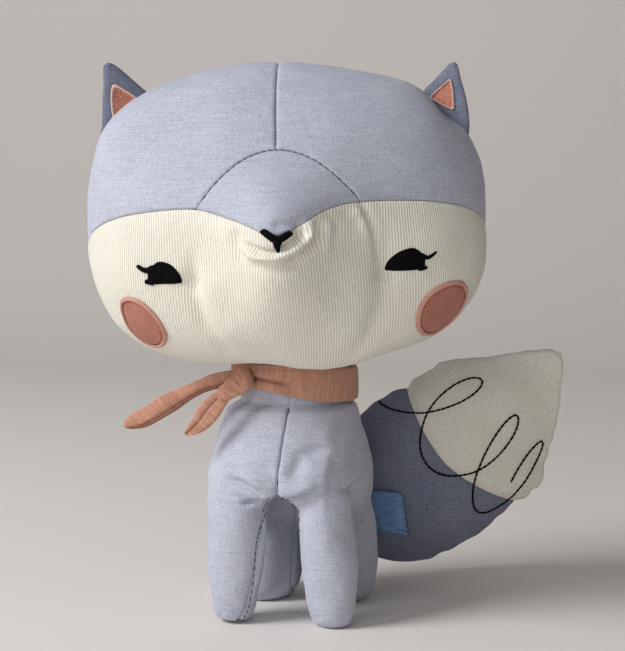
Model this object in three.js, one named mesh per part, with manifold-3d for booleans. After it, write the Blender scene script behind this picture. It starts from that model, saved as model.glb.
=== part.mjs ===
// A standing plush fox of sewn cotton panels over fibre stuffing, in millimetres, +Z up, facing -Y.
import * as THREE from 'three';
import { mergeVertices } from 'three/addons/utils/BufferGeometryUtils.js';
import Module from 'manifold-3d';

const wasm = await Module();
wasm.setup();

// Cloth and the clearances between pieces
const clothThickness = 1.2;
const fitGap = 0.3;
const seamDraw = 0.16;
const runningGap = 0.6;
const cutOverrun = 20;
const mergeDistance = 0.001;
const poleReach = 1.2;
const seamPointDraw = 0.64;

// Head: half sizes of the stuffed form, and how round each part of it is
const headHalfWidth = 87.9;
const headFrontDepth = 53;
const headBackDepth = 48;
const crownHeight = 64.8;
const chinDrop = 66.7;
const muzzleReach = 21.5;
const muzzleSideSpread = 16; // degrees
const muzzleTopSpread = 19; // degrees
const muzzleFootSpread = 34; // degrees
const muzzleDrop = 2; // degrees
const crownRoundness = 2;
const cheekRoundness = 2.78;
const cheekBlendShare = 0.4;
const earCornerFlareShare = 0.298;
const crownLeanShare = 0.048;
const headCentreRight = 0.6;
const headCentreForward = 9;
const headCentreRise = 66;
const headYaw = 7;
const headPitch = 4;
const headRoll = 2.8;

// Seams of the head, as angles in degrees away from the middle of the face
const sideSeamAngle = 96;
const gussetHalfAngle = 22.4;
const gussetTopAngle = 27.3;
const browAngle = 6.3;
const noseDip = 10.1;
const noseDipSpread = 10.5;
const templeDrop = 37;
const templePower = 3.9;
const gussetColumns = 4;
const crownColumns = 12;
const crownRows = 9;
const faceRows = 10;
const backRows = 7;
const gussetRows = 5;
const seamSearchSteps = 40;

// Neck: the stuffed neck is a ball that the head is sewn over
const neckPivotHeight = 116;
const neckRadius = 24;
const neckSteps = 32;
const neckRows = 9;
const nodLimit = 8; // degrees

// Torso: a pear, with rows of height, half width, half depth and centre as shares
const torsoBottom = 33;
const torsoTop = 104;
const torsoHalfWidth = 36.2;
const torsoHalfDepth = 45.5;
const collarRadius = 25.5;
const torsoColumns = 24;
const torsoRowShares = [
  { height: 0, width: 0, depth: 0, centre: 0.35, round: 2 },
  { height: 0.017, width: 0.387, depth: 0.242, centre: 0.35, round: 2 },
  { height: 0.063, width: 0.677, depth: 0.45, centre: 0.34, round: 2.1 },
  { height: 0.141, width: 0.856, depth: 0.66, centre: 0.286, round: 2.3 },
  { height: 0.232, width: 0.953, depth: 0.84, centre: 0.185, round: 2.8 },
  { height: 0.338, width: 0.994, depth: 0.975, centre: 0.08, round: 3.1 },
  { height: 0.437, width: 1, depth: 1, centre: 0.045, round: 3.1 },
  { height: 0.549, width: 0.956, depth: 0.936, centre: 0.026, round: 2.8 },
  { height: 0.662, width: 0.895, depth: 0.835, centre: 0.011, round: 2.5 },
  { height: 0.775, width: 0.834, depth: 0.725, centre: 0, round: 2.2 },
  { height: 0.859, width: 0.785, depth: 0.637, centre: 0, round: 2.1 },
];
const collarHeight = 98;

// Legs: rows of height, radius and how far the leg leans in and back, as shares
const frontLegHeight = 80;
const frontLegRadius = 12.5;
const frontLegSpread = 22.4;
const frontLegForward = 30;
const frontLegLeanIn = 1.9;
const frontLegLeanBack = 15;
const hindLegHeight = 60;
const hindLegRadius = 16.6;
const hindLegStretch = 1.15;
const hindLegSpread = 17.7;
const hindLegBack = 20.5;
const legColumns = 14;
const frontLegRowShares = [
  { height: 0, radius: 0, leanIn: 0, leanBack: 0 },
  { height: 0, radius: 0.6, leanIn: 0, leanBack: 0 },
  { height: 0.022, radius: 0.77, leanIn: 0, leanBack: 0 },
  { height: 0.07, radius: 0.89, leanIn: 0.05, leanBack: 0 },
  { height: 0.165, radius: 0.96, leanIn: 0.2, leanBack: 0 },
  { height: 0.32, radius: 1, leanIn: 0.5, leanBack: 0 },
  { height: 0.5, radius: 1, leanIn: 0.8, leanBack: 0.02 },
  { height: 0.64, radius: 1, leanIn: 1, leanBack: 0.07 },
  { height: 0.75, radius: 0.96, leanIn: 1, leanBack: 0.22 },
  { height: 0.85, radius: 0.86, leanIn: 1, leanBack: 0.5 },
  { height: 0.94, radius: 0.6, leanIn: 1, leanBack: 0.8 },
  { height: 1, radius: 0, leanIn: 1, leanBack: 1 },
];
const hindLegRowShares = [
  { height: 0, radius: 0, leanIn: 0, leanBack: 0 },
  { height: 0, radius: 0.58, leanIn: 0, leanBack: 0 },
  { height: 0.035, radius: 0.78, leanIn: 0, leanBack: 0 },
  { height: 0.12, radius: 0.92, leanIn: 0, leanBack: 0 },
  { height: 0.26, radius: 0.985, leanIn: 0, leanBack: 0 },
  { height: 0.45, radius: 1, leanIn: 0, leanBack: 0 },
  { height: 0.65, radius: 0.97, leanIn: 0, leanBack: 0 },
  { height: 0.82, radius: 0.82, leanIn: 0, leanBack: 0 },
  { height: 0.94, radius: 0.5, leanIn: 0, leanBack: 0 },
  { height: 1, radius: 0, leanIn: 0, leanBack: 0 },
];

// Tail: a flat teardrop that leans up to the right and bends back from its root
const tailRootRight = 9.5;
const tailRootBack = 47.6;
const tailRootHeight = 47;
const tailHalfWidth = 40.5;
const tailHalfThickness = 21;
const tailLength = 135;
const tailSlope = 44; // degrees
const tailBend = 13;
const tailBendReach = 25;
const tailTurnBackShare = 0.05;
const tailColumns = 20;
const tailColourRow = 6;
const tailRowShares = [
  { along: 0, width: 0, thickness: 0 },
  { along: 0.022, width: 0.36, thickness: 0.38 },
  { along: 0.078, width: 0.65, thickness: 0.66 },
  { along: 0.168, width: 0.88, thickness: 0.88 },
  { along: 0.282, width: 0.995, thickness: 0.99 },
  { along: 0.375, width: 1.01, thickness: 1 },
  { along: 0.465, width: 0.998, thickness: 0.99 },
  { along: 0.535, width: 0.968, thickness: 0.955 },
  { along: 0.61, width: 0.905, thickness: 0.87 },
  { along: 0.7, width: 0.77, thickness: 0.72 },
  { along: 0.79, width: 0.61, thickness: 0.54 },
  { along: 0.875, width: 0.42, thickness: 0.36 },
  { along: 0.945, width: 0.24, thickness: 0.21 },
  { along: 0.985, width: 0.11, thickness: 0.11 },
  { along: 1, width: 0, thickness: 0 },
];
const labelWidth = 10;
const labelHeight = 19;
const labelRight = 39.5;
const labelCentreHeight = 39.2;
const labelThickness = 0.8;
const labelSteps = 3;

// Ears: flat sewn triangles, hinged along their sewn edge
const earInnerAngle = 55;
const earOuterAngle = 37.5;
const earSeamAngle = 97;
const earHeight = 17.5;
const earThickness = 3;
const earTipInShare = 0.24;
const earEdgeRound = 1.2;
const earEdgeSteps = 2;
const earCurveSteps = 4;
const liningInset = 3.9;
const liningThickness = 0.8;
const liningTipShare = 1.5;

// Embroidery and cloth pieces on the face, placed by degrees from the middle of the face
const threadThickness = 0.7;
const patchLift = 0.4;
const eyeInnerAngle = 26;
const eyeOuterAngle = 37.4;
const lashAngle = 41.6;
const eyeFootAngle = 19.6;
const eyeTopAngle = 12;
const lashTopAngle = 13.6;
const eyeSteps = 9;
const eyeFootHang = 0.4;
const eyeLeanShare = 0.25;
const lashStartShare = 0.55;
const lashLiftShare = 0.25;
const lashRootDrop = 5;
const lashTipDrop = 0.8;
const cheekSideAngle = 41.5;
const cheekDownAngle = 34.8;
const cheekLongRadius = 14.2;
const cheekShortRadius = 11.4;
const cheekTurn = 38; // degrees
const cheekSteps = 20;
const cheekRingShares = [0, 0.4, 0.75, 1];
const noseArmAngle = 4.3;
const noseArmTop = 2.2;
const noseJoinAngle = 4.7;
const noseFootAngle = 9.4;
const noseStrokeWidth = 2.6;
const noseStrokeSteps = 5;
const noseStrokeOverlap = 0.65;
const noseFootLift = 0.5;
const patchSearchSteps = 30;
const patchSearchShare = 0.6;

// Scarf: a flat tube round the neck, its knot and its two ends
const scarfBottom = 98.6;
const scarfHeight = 15.9;
const scarfThickness = 3;
const scarfEdgeRound = 1;
const scarfSteps = 32;
const knotRight = -18.2;
const knotForward = 28.6;
const knotHeight = 107.6;
const knotWidth = 9.6;
const knotDepth = 8.4;
const knotRise = 8.8;
const knotColumns = 14;
const knotRows = 8;
const knotRoundness = 2.4;
const longEndWidth = 11;
const shortEndWidth = 13;
const scarfEndThickness = 3.4;
const scarfEndSteps = 12;
const scarfEndSides = 12;
const endRootShare = 0.62;
const endWideShare = 0.45;
const endTipShare = 0.14;
const endRoundness = 2.4;
const longEndReach = 51;
const longEndDrop = 22.5;
const longEndForward = 7.4;
const longEndSag = 3;
const shortEndReach = 24;
const shortEndDrop = 23;
const shortEndForward = 6;
const shortEndSag = -1.5;

// Colours and finishes
const finishes = {
  blueCotton: new THREE.MeshStandardMaterial({ color: '#9fa3b6', roughness: 0.95, metalness: 0 }),
  whiteRib: new THREE.MeshStandardMaterial({ color: '#e9e6d6', roughness: 0.95, metalness: 0 }),
  coralCotton: new THREE.MeshStandardMaterial({ color: '#cf8d72', roughness: 0.9, metalness: 0 }),
  cheekCotton: new THREE.MeshStandardMaterial({ color: '#bd8270', roughness: 0.9, metalness: 0 }),
  blackThread: new THREE.MeshStandardMaterial({ color: '#121317', roughness: 0.6, metalness: 0 }),
  blueRibbon: new THREE.MeshStandardMaterial({ color: '#3f6a9e', roughness: 0.6, metalness: 0 }),
  fibre: new THREE.MeshStandardMaterial({ color: '#f2f0ea', roughness: 1, metalness: 0 }),
};

const radians = THREE.MathUtils.degToRad;
const vector = (x, y, z) => new THREE.Vector3(x, y, z);
const steps = (count, from, to) =>
  Array.from({ length: count + 1 }, (_, i) => from + ((to - from) * i) / count);

// Turns a list of triangles into one closed geometry with its faces pointing out
function closedGeometry(triangles) {
  const loose = new THREE.BufferGeometry();
  const corners = triangles.flat().flatMap((point) => point.toArray());
  loose.setAttribute('position', new THREE.Float32BufferAttribute(corners, 3));
  const merged = mergeVertices(loose, mergeDistance);
  const place = merged.getAttribute('position');
  const index = merged.getIndex().array;
  const kept = [];
  let volume = 0;
  for (let i = 0; i < index.length; i += 3) {
    const [a, b, c] = [index[i], index[i + 1], index[i + 2]];
    if (a === b || b === c || c === a) continue;
    kept.push(a, b, c);
    const [pa, pb, pc] = [a, b, c].map((k) => new THREE.Vector3().fromBufferAttribute(place, k));
    volume += pa.dot(pb.cross(pc));
  }
  if (volume < 0) kept.reverse();
  merged.setIndex(kept);
  return merged;
}

function toSolid(geometry) {
  const vertProperties = new Float32Array(geometry.getAttribute('position').array);
  const triVerts = new Uint32Array(geometry.getIndex().array);
  return new wasm.Manifold(new wasm.Mesh({ numProp: 3, vertProperties, triVerts }));
}

function toGeometry(solid) {
  const mesh = solid.getMesh();
  const corner = (k) => new THREE.Vector3().fromArray(mesh.vertProperties, 3 * mesh.triVerts[k]);
  const triangles = [];
  for (let i = 0; i < mesh.triVerts.length; i += 3) triangles.push([corner(i), corner(i + 1), corner(i + 2)]);
  return closedGeometry(triangles);
}

// The largest body that is left of a geometry after others are cut from it
function cutFrom(geometry, cutters) {
  let solid = toSolid(geometry);
  for (const cutter of cutters) solid = solid.subtract(toSolid(cutter));
  const bodies = solid.decompose();
  bodies.sort((a, b) => b.volume() - a.volume());
  return toGeometry(bodies[0]);
}

function quad(triangles, a, b, c, d) {
  triangles.push([a, b, c], [a, c, d]);
}

// A grid is a list of columns of points; a shell joins an outer grid to an inner one along all four edges
function shell(outer, inner) {
  const triangles = [];
  const lastColumn = outer.length - 1;
  const lastRow = outer[0].length - 1;
  for (let i = 0; i < lastColumn; i++) {
    for (let j = 0; j < lastRow; j++) {
      quad(triangles, outer[i][j], outer[i + 1][j], outer[i + 1][j + 1], outer[i][j + 1]);
      quad(triangles, inner[i][j], inner[i][j + 1], inner[i + 1][j + 1], inner[i + 1][j]);
    }
    quad(triangles, inner[i][0], inner[i + 1][0], outer[i + 1][0], outer[i][0]);
    quad(triangles, outer[i][lastRow], outer[i + 1][lastRow], inner[i + 1][lastRow], inner[i][lastRow]);
  }
  const [farOuter, farInner] = [outer[lastColumn], inner[lastColumn]];
  for (let j = 0; j < lastRow; j++) {
    quad(triangles, outer[0][j], outer[0][j + 1], inner[0][j + 1], inner[0][j]);
    quad(triangles, farInner[j], farInner[j + 1], farOuter[j + 1], farOuter[j]);
  }
  return closedGeometry(triangles);
}

// A closed skin over a grid whose columns go all the way round; an open end is closed flat
function skin(grid) {
  const triangles = [];
  const lastRow = grid[0].length - 1;
  const middle = (row) =>
    grid.reduce((sum, column) => sum.add(column[row]), vector(0, 0, 0)).divideScalar(grid.length);
  const [bottom, top] = [middle(0), middle(lastRow)];
  grid.forEach((column, i) => {
    const next = grid[(i + 1) % grid.length];
    for (let j = 0; j < lastRow; j++) quad(triangles, column[j], next[j], next[j + 1], column[j + 1]);
    triangles.push([bottom, next[0], column[0]], [top, column[lastRow], next[lastRow]]);
  });
  return closedGeometry(triangles);
}

// Moves every point of an all-round grid inwards by one distance, square to the surface
function insetGrid(grid, distance) {
  const lastRow = grid[0].length - 1;
  const count = grid.length;
  const normalAt = (i, j) => {
    const across = grid[(i + 1) % count][j].clone().sub(grid[(i + count - 1) % count][j]);
    const along = grid[i][Math.min(j + 1, lastRow)].clone().sub(grid[i][Math.max(j - 1, 0)]);
    return across.cross(along).normalize();
  };
  const isPole = (j) => grid[0][j].distanceTo(grid[Math.floor(count / 2)][j]) < poleReach;
  const poleNormal = (j) => {
    const beside = j === 0 ? 1 : lastRow - 1;
    return grid.reduce((sum, _, i) => sum.add(normalAt(i, beside)), vector(0, 0, 0)).normalize();
  };
  return grid.map((column, i) =>
    column.map((point, j) => {
      const normal = (j === 0 || j === lastRow) && isPole(j) ? poleNormal(j) : normalAt(i, j);
      return point.clone().addScaledVector(normal, -distance);
    }),
  );
}

// Draws the named edges of a panel in, so that two panels meet with the gap of a seam
function drawIn(grid, edges) {
  const moved = grid.map((column) => column.map((point) => point.clone()));
  const lastColumn = grid.length - 1;
  const lastRow = grid[0].length - 1;
  const pull = (i, j, towards, amount) => {
    const way = towards.clone().sub(grid[i][j]);
    if (way.length() > amount) moved[i][j].addScaledVector(way.normalize(), amount);
  };
  const middleRow = Math.round(lastRow / 2);
  for (let i = 0; i <= lastColumn; i++) {
    if (edges.includes('bottom')) pull(i, 0, grid[i][1], seamDraw);
    if (edges.includes('top')) pull(i, lastRow, grid[i][lastRow - 1], seamDraw);
  }
  for (let j = 0; j <= lastRow; j++) {
    if (edges.includes('left')) pull(0, j, grid[1][j], seamDraw);
    if (edges.includes('right')) pull(lastColumn, j, grid[lastColumn - 1][j], seamDraw);
  }
  const drawPoint = (column, beside) => {
    const way = grid[beside][middleRow].clone().sub(grid[column][0]).normalize();
    const point = grid[column][0].clone().addScaledVector(way, seamPointDraw);
    for (const corner of moved[column]) corner.copy(point);
  };
  if (edges.includes('leftPoint')) drawPoint(0, 1);
  if (edges.includes('rightPoint')) drawPoint(lastColumn, lastColumn - 1);
  return moved;
}

// The head's surface in any direction from its middle, with the face looking along -Y
function headSurface(direction) {
  const [side, front, up] = [direction.x, -direction.y, direction.z];
  const lower = THREE.MathUtils.smoothstep(-up, -cheekBlendShare, cheekBlendShare);
  const power = THREE.MathUtils.lerp(crownRoundness, cheekRoundness, lower);
  const reach = (Math.abs(side) ** power + Math.abs(front) ** power + Math.abs(up) ** power) ** (-1 / power);
  const crownShare = Math.max(0, up * reach);
  const x = headHalfWidth * side * reach * (1 + earCornerFlareShare * crownShare ** 2);
  const z = (up > 0 ? crownHeight : chinDrop) * up * reach - crownLeanShare * x * crownShare;
  const depth = front > 0 ? headFrontDepth : headBackDepth;
  const y = -depth * front * reach - muzzleReach * muzzleShare(direction);
  return vector(x, y, z).add(headCentre);
}
function muzzleShare(direction) {
  if (direction.y > 0) return 0;
  const away = THREE.MathUtils.radToDeg(Math.acos(Math.min(1, -direction.y)));
  const spread = away / Math.max(Math.hypot(direction.x, direction.z), Number.EPSILON);
  const [side, up] = [direction.x * spread, direction.z * spread + muzzleDrop];
  const upSpread = up > 0 ? muzzleTopSpread : muzzleFootSpread;
  return Math.exp(-((side / muzzleSideSpread) ** 2) - (up / upSpread) ** 2);
}
const headCentre = vector(headCentreRight, -headCentreForward, headCentreRise);

// A direction by its degrees to the side of the face's middle and above it
function faceDirection(sideAngle, upAngle) {
  const away = Math.hypot(sideAngle, upAngle);
  const share = away > 0 ? Math.sin(radians(away)) / away : 0;
  return vector(sideAngle * share, -Math.cos(radians(away)), upAngle * share);
}

function headNormal(direction) {
  const nudge = 0.01;
  const across = vector(0, 0, 1).cross(direction);
  if (across.length() < nudge) across.set(1, 0, 0);
  across.normalize();
  const along = direction.clone().cross(across);
  const slope = (way) =>
    headSurface(direction.clone().addScaledVector(way, nudge).normalize()).sub(
      headSurface(direction.clone().addScaledVector(way, -nudge).normalize()),
    );
  const normal = slope(across).cross(slope(along)).normalize();
  return normal.dot(direction) < 0 ? normal.negate() : normal;
}

function headPoint(sideAngle, upAngle, inset) {
  const direction = faceDirection(sideAngle, upAngle);
  return headSurface(direction).addScaledVector(headNormal(direction), -inset);
}

// The seam between the blue crown and the white face, and the top seam of the muzzle gusset
function faceSeam(sideAngle) {
  const dip = noseDip * Math.exp(-((sideAngle / noseDipSpread) ** 2));
  return browAngle - dip - templeDrop * (Math.abs(sideAngle) / sideSeamAngle) ** templePower;
}
function gussetSeam(sideAngle) {
  const foot = faceSeam(gussetHalfAngle);
  return foot + (gussetTopAngle - foot) * (1 - (sideAngle / gussetHalfAngle) ** 2);
}
function seamEnd() {
  let [inside, outside] = [gussetHalfAngle, sideSeamAngle];
  for (let i = 0; i < seamSearchSteps; i++) {
    const middle = (inside + outside) / 2;
    if (Math.hypot(middle, faceSeam(middle)) < sideSeamAngle) inside = middle;
    else outside = middle;
  }
  return inside;
}
const seamEndAngle = seamEnd();
const templeAngle = THREE.MathUtils.radToDeg(Math.atan2(-faceSeam(seamEndAngle), seamEndAngle));
const sidePoint = (turn, away = sideSeamAngle) => {
  return [away * Math.cos(radians(turn)), away * Math.sin(radians(turn))];
};

// Panels of the head as columns of face angles, from one seam to the opposite one
const browSteps = crownColumns - gussetColumns;
const leftBrow = steps(browSteps, -seamEndAngle, -gussetHalfAngle);
const rightBrow = steps(browSteps, gussetHalfAngle, seamEndAngle);
const gussetSteps = steps(2 * gussetColumns, -gussetHalfAngle, gussetHalfAngle);
const leftSeam = [...leftBrow, ...gussetSteps.slice(1, gussetColumns + 1)];
const rightSeam = [...gussetSteps.slice(gussetColumns, -1), ...rightBrow];
const crownEdge = (angle) => [angle, Math.abs(angle) < gussetHalfAngle ? gussetSeam(angle) : faceSeam(angle)];
const crownTurns = steps(crownColumns, 180 + templeAngle, 90);
const chinTurns = steps(2 * crownColumns, 180 + templeAngle, 360 - templeAngle);
const backTurns = [...crownTurns.slice(1).reverse(), ...chinTurns.slice(0, crownColumns + 1)];
const between = (start, end, t) => [0, 1].map((k) => THREE.MathUtils.lerp(start[k], end[k], t));
const betweenSeams = (from, to, rows) =>
  from.map((start, i) => steps(rows, 0, 1).map((t) => between(start, to[i], t)));

const headPanels = {
  crown_panel_left: {
    angles: betweenSeams(leftSeam.map(crownEdge), crownTurns.map((turn) => sidePoint(turn)), crownRows),
    edges: ['bottom', 'top', 'right', 'leftPoint'],
  },
  crown_panel_right: {
    angles: betweenSeams(
      rightSeam.map(crownEdge),
      crownTurns.map((turn) => sidePoint(180 - turn)).reverse(),
      crownRows,
    ),
    edges: ['bottom', 'top', 'left', 'rightPoint'],
  },
  muzzle_gusset: {
    angles: betweenSeams(
      gussetSteps.map((angle) => [angle, faceSeam(angle)]),
      gussetSteps.map((angle) => [angle, gussetSeam(angle)]),
      gussetRows,
    ),
    edges: ['bottom', 'top', 'leftPoint', 'rightPoint'],
  },
  face_panel: {
    angles: betweenSeams(
      chinTurns.map((turn) => sidePoint(turn)),
      [...leftBrow, ...gussetSteps.slice(1, -1), ...rightBrow].map((angle) => [angle, faceSeam(angle)]),
      faceRows,
    ),
    edges: ['bottom', 'top', 'leftPoint', 'rightPoint'],
  },
  head_back_left: { angles: backAngles([...backTurns].reverse()) },
  head_back_right: { angles: backAngles(backTurns.map((turn) => 540 - turn)) },
};
function backAngles(turns) {
  return turns.map((turn) => steps(backRows, sideSeamAngle, 180).map((away) => sidePoint(turn, away)));
}

const headGrid = (panel, inset) =>
  panel.angles.map((column) => column.map(([side, up]) => headPoint(side, up, inset)));
function headPanel(panel) {
  const edges = panel.edges ?? ['bottom', 'left', 'right'];
  return shell(drawIn(headGrid(panel, 0), edges), drawIn(headGrid(panel, clothThickness), edges));
}
function headFilling() {
  const triangles = [];
  for (const panel of Object.values(headPanels)) {
    const grid = headGrid(panel, clothThickness + fitGap);
    for (let i = 0; i + 1 < grid.length; i++) {
      for (let j = 0; j + 1 < grid[0].length; j++) {
        quad(triangles, grid[i][j], grid[i + 1][j], grid[i + 1][j + 1], grid[i][j + 1]);
      }
    }
  }
  return closedGeometry(triangles);
}

// The hollow under the head: room for the neck ball, and for the scarf when the head nods
const headTurn = new THREE.Matrix4().makeRotationFromEuler(
  new THREE.Euler(radians(headPitch), radians(-headRoll), radians(headYaw), 'ZYX'),
);
const scarfInnerRadius = collarRadius + runningGap;
const scarfOuterRadius = scarfInnerRadius + scarfThickness;
const scarfTop = scarfBottom + scarfHeight;
function neckWell() {
  const nod = radians(nodLimit);
  const ceiling = scarfTop - neckPivotHeight + scarfOuterRadius * Math.sin(nod) + runningGap;
  const knotReach = Math.hypot(knotRight, knotForward + knotDepth / 2);
  const mouthRadius = knotReach + scarfHeight * Math.sin(nod) + runningGap;
  const ballRadius = neckRadius + runningGap;
  const from = Math.asin(ceiling / ballRadius);
  const ball = steps(neckRows, from, Math.PI / 2).map(
    (angle) => new THREE.Vector2(ballRadius * Math.cos(angle), ballRadius * Math.sin(angle)),
  );
  ball[ball.length - 1].x = 0;
  const profile = [
    new THREE.Vector2(0, -cutOverrun),
    new THREE.Vector2(mouthRadius, -cutOverrun),
    new THREE.Vector2(mouthRadius, ceiling),
    ...ball,
  ];
  return turned(profile, neckSteps).applyMatrix4(headTurn.clone().invert());
}

// A closed solid of revolution about +Z from a profile of radius and height
function turned(profile, segments) {
  const lathe = new THREE.LatheGeometry(profile, segments);
  lathe.rotateX(Math.PI / 2);
  const place = lathe.getAttribute('position');
  const index = lathe.getIndex().array;
  const corner = (k) => new THREE.Vector3().fromBufferAttribute(place, k);
  const triangles = [];
  for (let i = 0; i < index.length; i += 3) {
    triangles.push([corner(index[i]), corner(index[i + 1]), corner(index[i + 2])]);
  }
  return closedGeometry(triangles);
}

function neckFilling() {
  const foot = torsoTop + fitGap - neckPivotHeight;
  const stemRadius = collarRadius - clothThickness - fitGap;
  const from = Math.acos(Math.min(1, (stemRadius - fitGap) / neckRadius));
  const ball = steps(neckRows, from, Math.PI / 2).map(
    (angle) => new THREE.Vector2(neckRadius * Math.cos(angle), neckRadius * Math.sin(angle)),
  );
  ball[ball.length - 1].x = 0;
  return turned([new THREE.Vector2(0, foot), new THREE.Vector2(ball[0].x, foot), ...ball], neckSteps);
}

// The torso's rows as points round a rounded oval, from the belly up to the collar
function ovalPoint(turn, halfWidth, halfDepth, round) {
  const [c, s] = [Math.cos(turn), Math.sin(turn)];
  const reach = (Math.abs(c) ** round + Math.abs(s) ** round) ** (-1 / round);
  return [halfWidth * c * reach, halfDepth * s * reach];
}
function torsoGrid() {
  const rows = torsoRowShares.map((row) => ({
    z: THREE.MathUtils.lerp(torsoBottom, torsoTop, row.height),
    halfWidth: torsoHalfWidth * row.width,
    halfDepth: torsoHalfDepth * row.depth,
    y: torsoHalfDepth * row.centre,
    round: row.round,
  }));
  for (const z of [collarHeight, torsoTop]) {
    rows.push({ z, halfWidth: collarRadius, halfDepth: collarRadius, y: 0, round: 2 });
  }
  return steps(torsoColumns, -Math.PI / 2, Math.PI * 1.5)
    .slice(0, -1)
    .map((turn) =>
      rows.map((row) => {
        const [x, y] = ovalPoint(turn, row.halfWidth, row.halfDepth, row.round);
        return vector(x, y + row.y, row.z);
      }),
    );
}

function legGrid(rowShares, leg) {
  return steps(legColumns, 0, 2 * Math.PI)
    .slice(0, -1)
    .map((turn) =>
      rowShares.map((row) => {
        const radius = leg.radius * row.radius;
        const x = leg.side * (leg.spread - leg.leanIn * row.leanIn) + radius * Math.cos(turn);
        const y = leg.y + leg.leanBack * row.leanBack + radius * leg.stretch * Math.sin(turn);
        return vector(x, y, leg.height * row.height);
      }),
    );
}

// The tail's frame: its root, its slope, and how a flat point bends back with its distance from the root
const tailAxis = vector(Math.cos(radians(tailSlope)), 0, Math.sin(radians(tailSlope)));
const tailAcross = vector(-Math.sin(radians(tailSlope)), 0, Math.cos(radians(tailSlope)));
const tailCentre = vector(tailRootRight + tailHalfWidth, 0, tailRootHeight);
const tailStart = -tailHalfWidth;
function tailBackAt(x) {
  const away = Math.max(0, x - tailRootRight);
  return tailRootBack + tailBend * (1 - Math.exp(-away / tailBendReach)) + tailTurnBackShare * away;
}
function tailPoint(along, across, lift) {
  const flat = tailCentre.clone().addScaledVector(tailAxis, along).addScaledVector(tailAcross, across);
  return vector(flat.x, tailBackAt(flat.x) - lift, flat.z);
}
function tailGrid() {
  return steps(tailColumns, 0, 2 * Math.PI)
    .slice(0, -1)
    .map((turn) =>
      tailRowShares.map((row) =>
        tailPoint(
          tailStart + tailLength * row.along,
          tailHalfWidth * row.width * Math.cos(turn),
          tailHalfThickness * row.thickness * Math.sin(turn),
        ),
      ),
    );
}
function tailFrontAt(x, z) {
  const flat = vector(x - tailCentre.x, 0, z - tailCentre.z);
  const alongShare = (flat.dot(tailAxis) - tailStart) / tailLength;
  const above = tailRowShares.findIndex((row) => row.along >= alongShare);
  const [low, high] = [tailRowShares[above - 1], tailRowShares[above]];
  const t = (alongShare - low.along) / (high.along - low.along);
  const halfWidth = tailHalfWidth * THREE.MathUtils.lerp(low.width, high.width, t);
  const halfThickness = tailHalfThickness * THREE.MathUtils.lerp(low.thickness, high.thickness, t);
  const acrossShare = Math.min(1, Math.abs(flat.dot(tailAcross)) / halfWidth);
  return tailBackAt(x) - halfThickness * Math.sqrt(1 - acrossShare ** 2);
}

// Slices an all-round grid into the panel between two columns and two rows
function slice(grid, fromColumn, toColumn, fromRow, toRow) {
  const columns = [];
  for (let i = fromColumn; i <= toColumn; i++) {
    columns.push(grid[(i + grid.length) % grid.length].slice(fromRow, toRow + 1));
  }
  return columns;
}
function slicedPanel(outer, inner, span, edges) {
  return shell(drawIn(slice(outer, ...span), edges), drawIn(slice(inner, ...span), edges));
}

// A thin piece that follows the head, from a grid of face angles
function headPatch(angles, thickness) {
  const layer = (inset) => angles.map((column) => column.map(([side, up]) => headPoint(side, up, inset)));
  return shell(layer(-patchLift - thickness), layer(-patchLift));
}
function eyePatch(side) {
  const angles = steps(eyeSteps, 0, 1).map((t) => {
    const across = THREE.MathUtils.lerp(eyeInnerAngle, lashAngle, t);
    const inEye = Math.min(1, (across - eyeInnerAngle) / (eyeOuterAngle - eyeInnerAngle));
    const lash = Math.max(0, (across - eyeOuterAngle) / (lashAngle - eyeOuterAngle));
    const arch = Math.sqrt(Math.max(0, 1 - (2 * inEye - 1) ** 2)) * (1 + eyeLeanShare * (inEye - 1 / 2));
    const lashShare = lash ? lashStartShare + lashLiftShare * lash : 0;
    const top = THREE.MathUtils.lerp(eyeFootAngle, eyeTopAngle, Math.max(arch, lashShare));
    const lashFoot = THREE.MathUtils.lerp(eyeTopAngle + lashRootDrop, lashTopAngle + lashTipDrop, lash);
    const foot = lash ? lashFoot : eyeFootAngle + eyeFootHang;
    return [foot, top].map((down) => [side * across, -down]);
  });
  return headPatch(angles, threadThickness);
}
function cheekPatch(side) {
  const direction = faceDirection(side * cheekSideAngle, -cheekDownAngle);
  const normal = headNormal(direction);
  const middle = headSurface(direction);
  const level = vector(0, 0, 1).cross(normal).normalize();
  const rise = normal.clone().cross(level);
  const angles = steps(cheekSteps, 0, 2 * Math.PI)
    .slice(0, -1)
    .map((turn) =>
      cheekRingShares.map((share) => {
        const long = cheekLongRadius * share * Math.cos(turn);
        const short = cheekShortRadius * share * Math.sin(turn);
        const tilt = radians(side * cheekTurn);
        const point = middle
          .clone()
          .addScaledVector(level, long * Math.cos(tilt) - short * Math.sin(tilt))
          .addScaledVector(rise, long * Math.sin(tilt) + short * Math.cos(tilt));
        return faceAnglesOf(point);
      }),
    );
  const layer = (lift) => angles.map((column) => column.map(([s, up]) => headPoint(s, up, -lift)));
  const [outer, inner] = [layer(patchLift + clothThickness), layer(patchLift)];
  return closedGeometry(discTriangles(outer, inner));
}
function discTriangles(outer, inner) {
  const triangles = [];
  const last = outer[0].length - 1;
  outer.forEach((column, i) => {
    const k = (i + 1) % outer.length;
    for (let j = 0; j < last; j++) {
      quad(triangles, column[j], column[j + 1], outer[k][j + 1], outer[k][j]);
      quad(triangles, inner[i][j], inner[k][j], inner[k][j + 1], inner[i][j + 1]);
    }
    quad(triangles, column[last], inner[i][last], inner[k][last], outer[k][last]);
  });
  return triangles;
}

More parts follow.
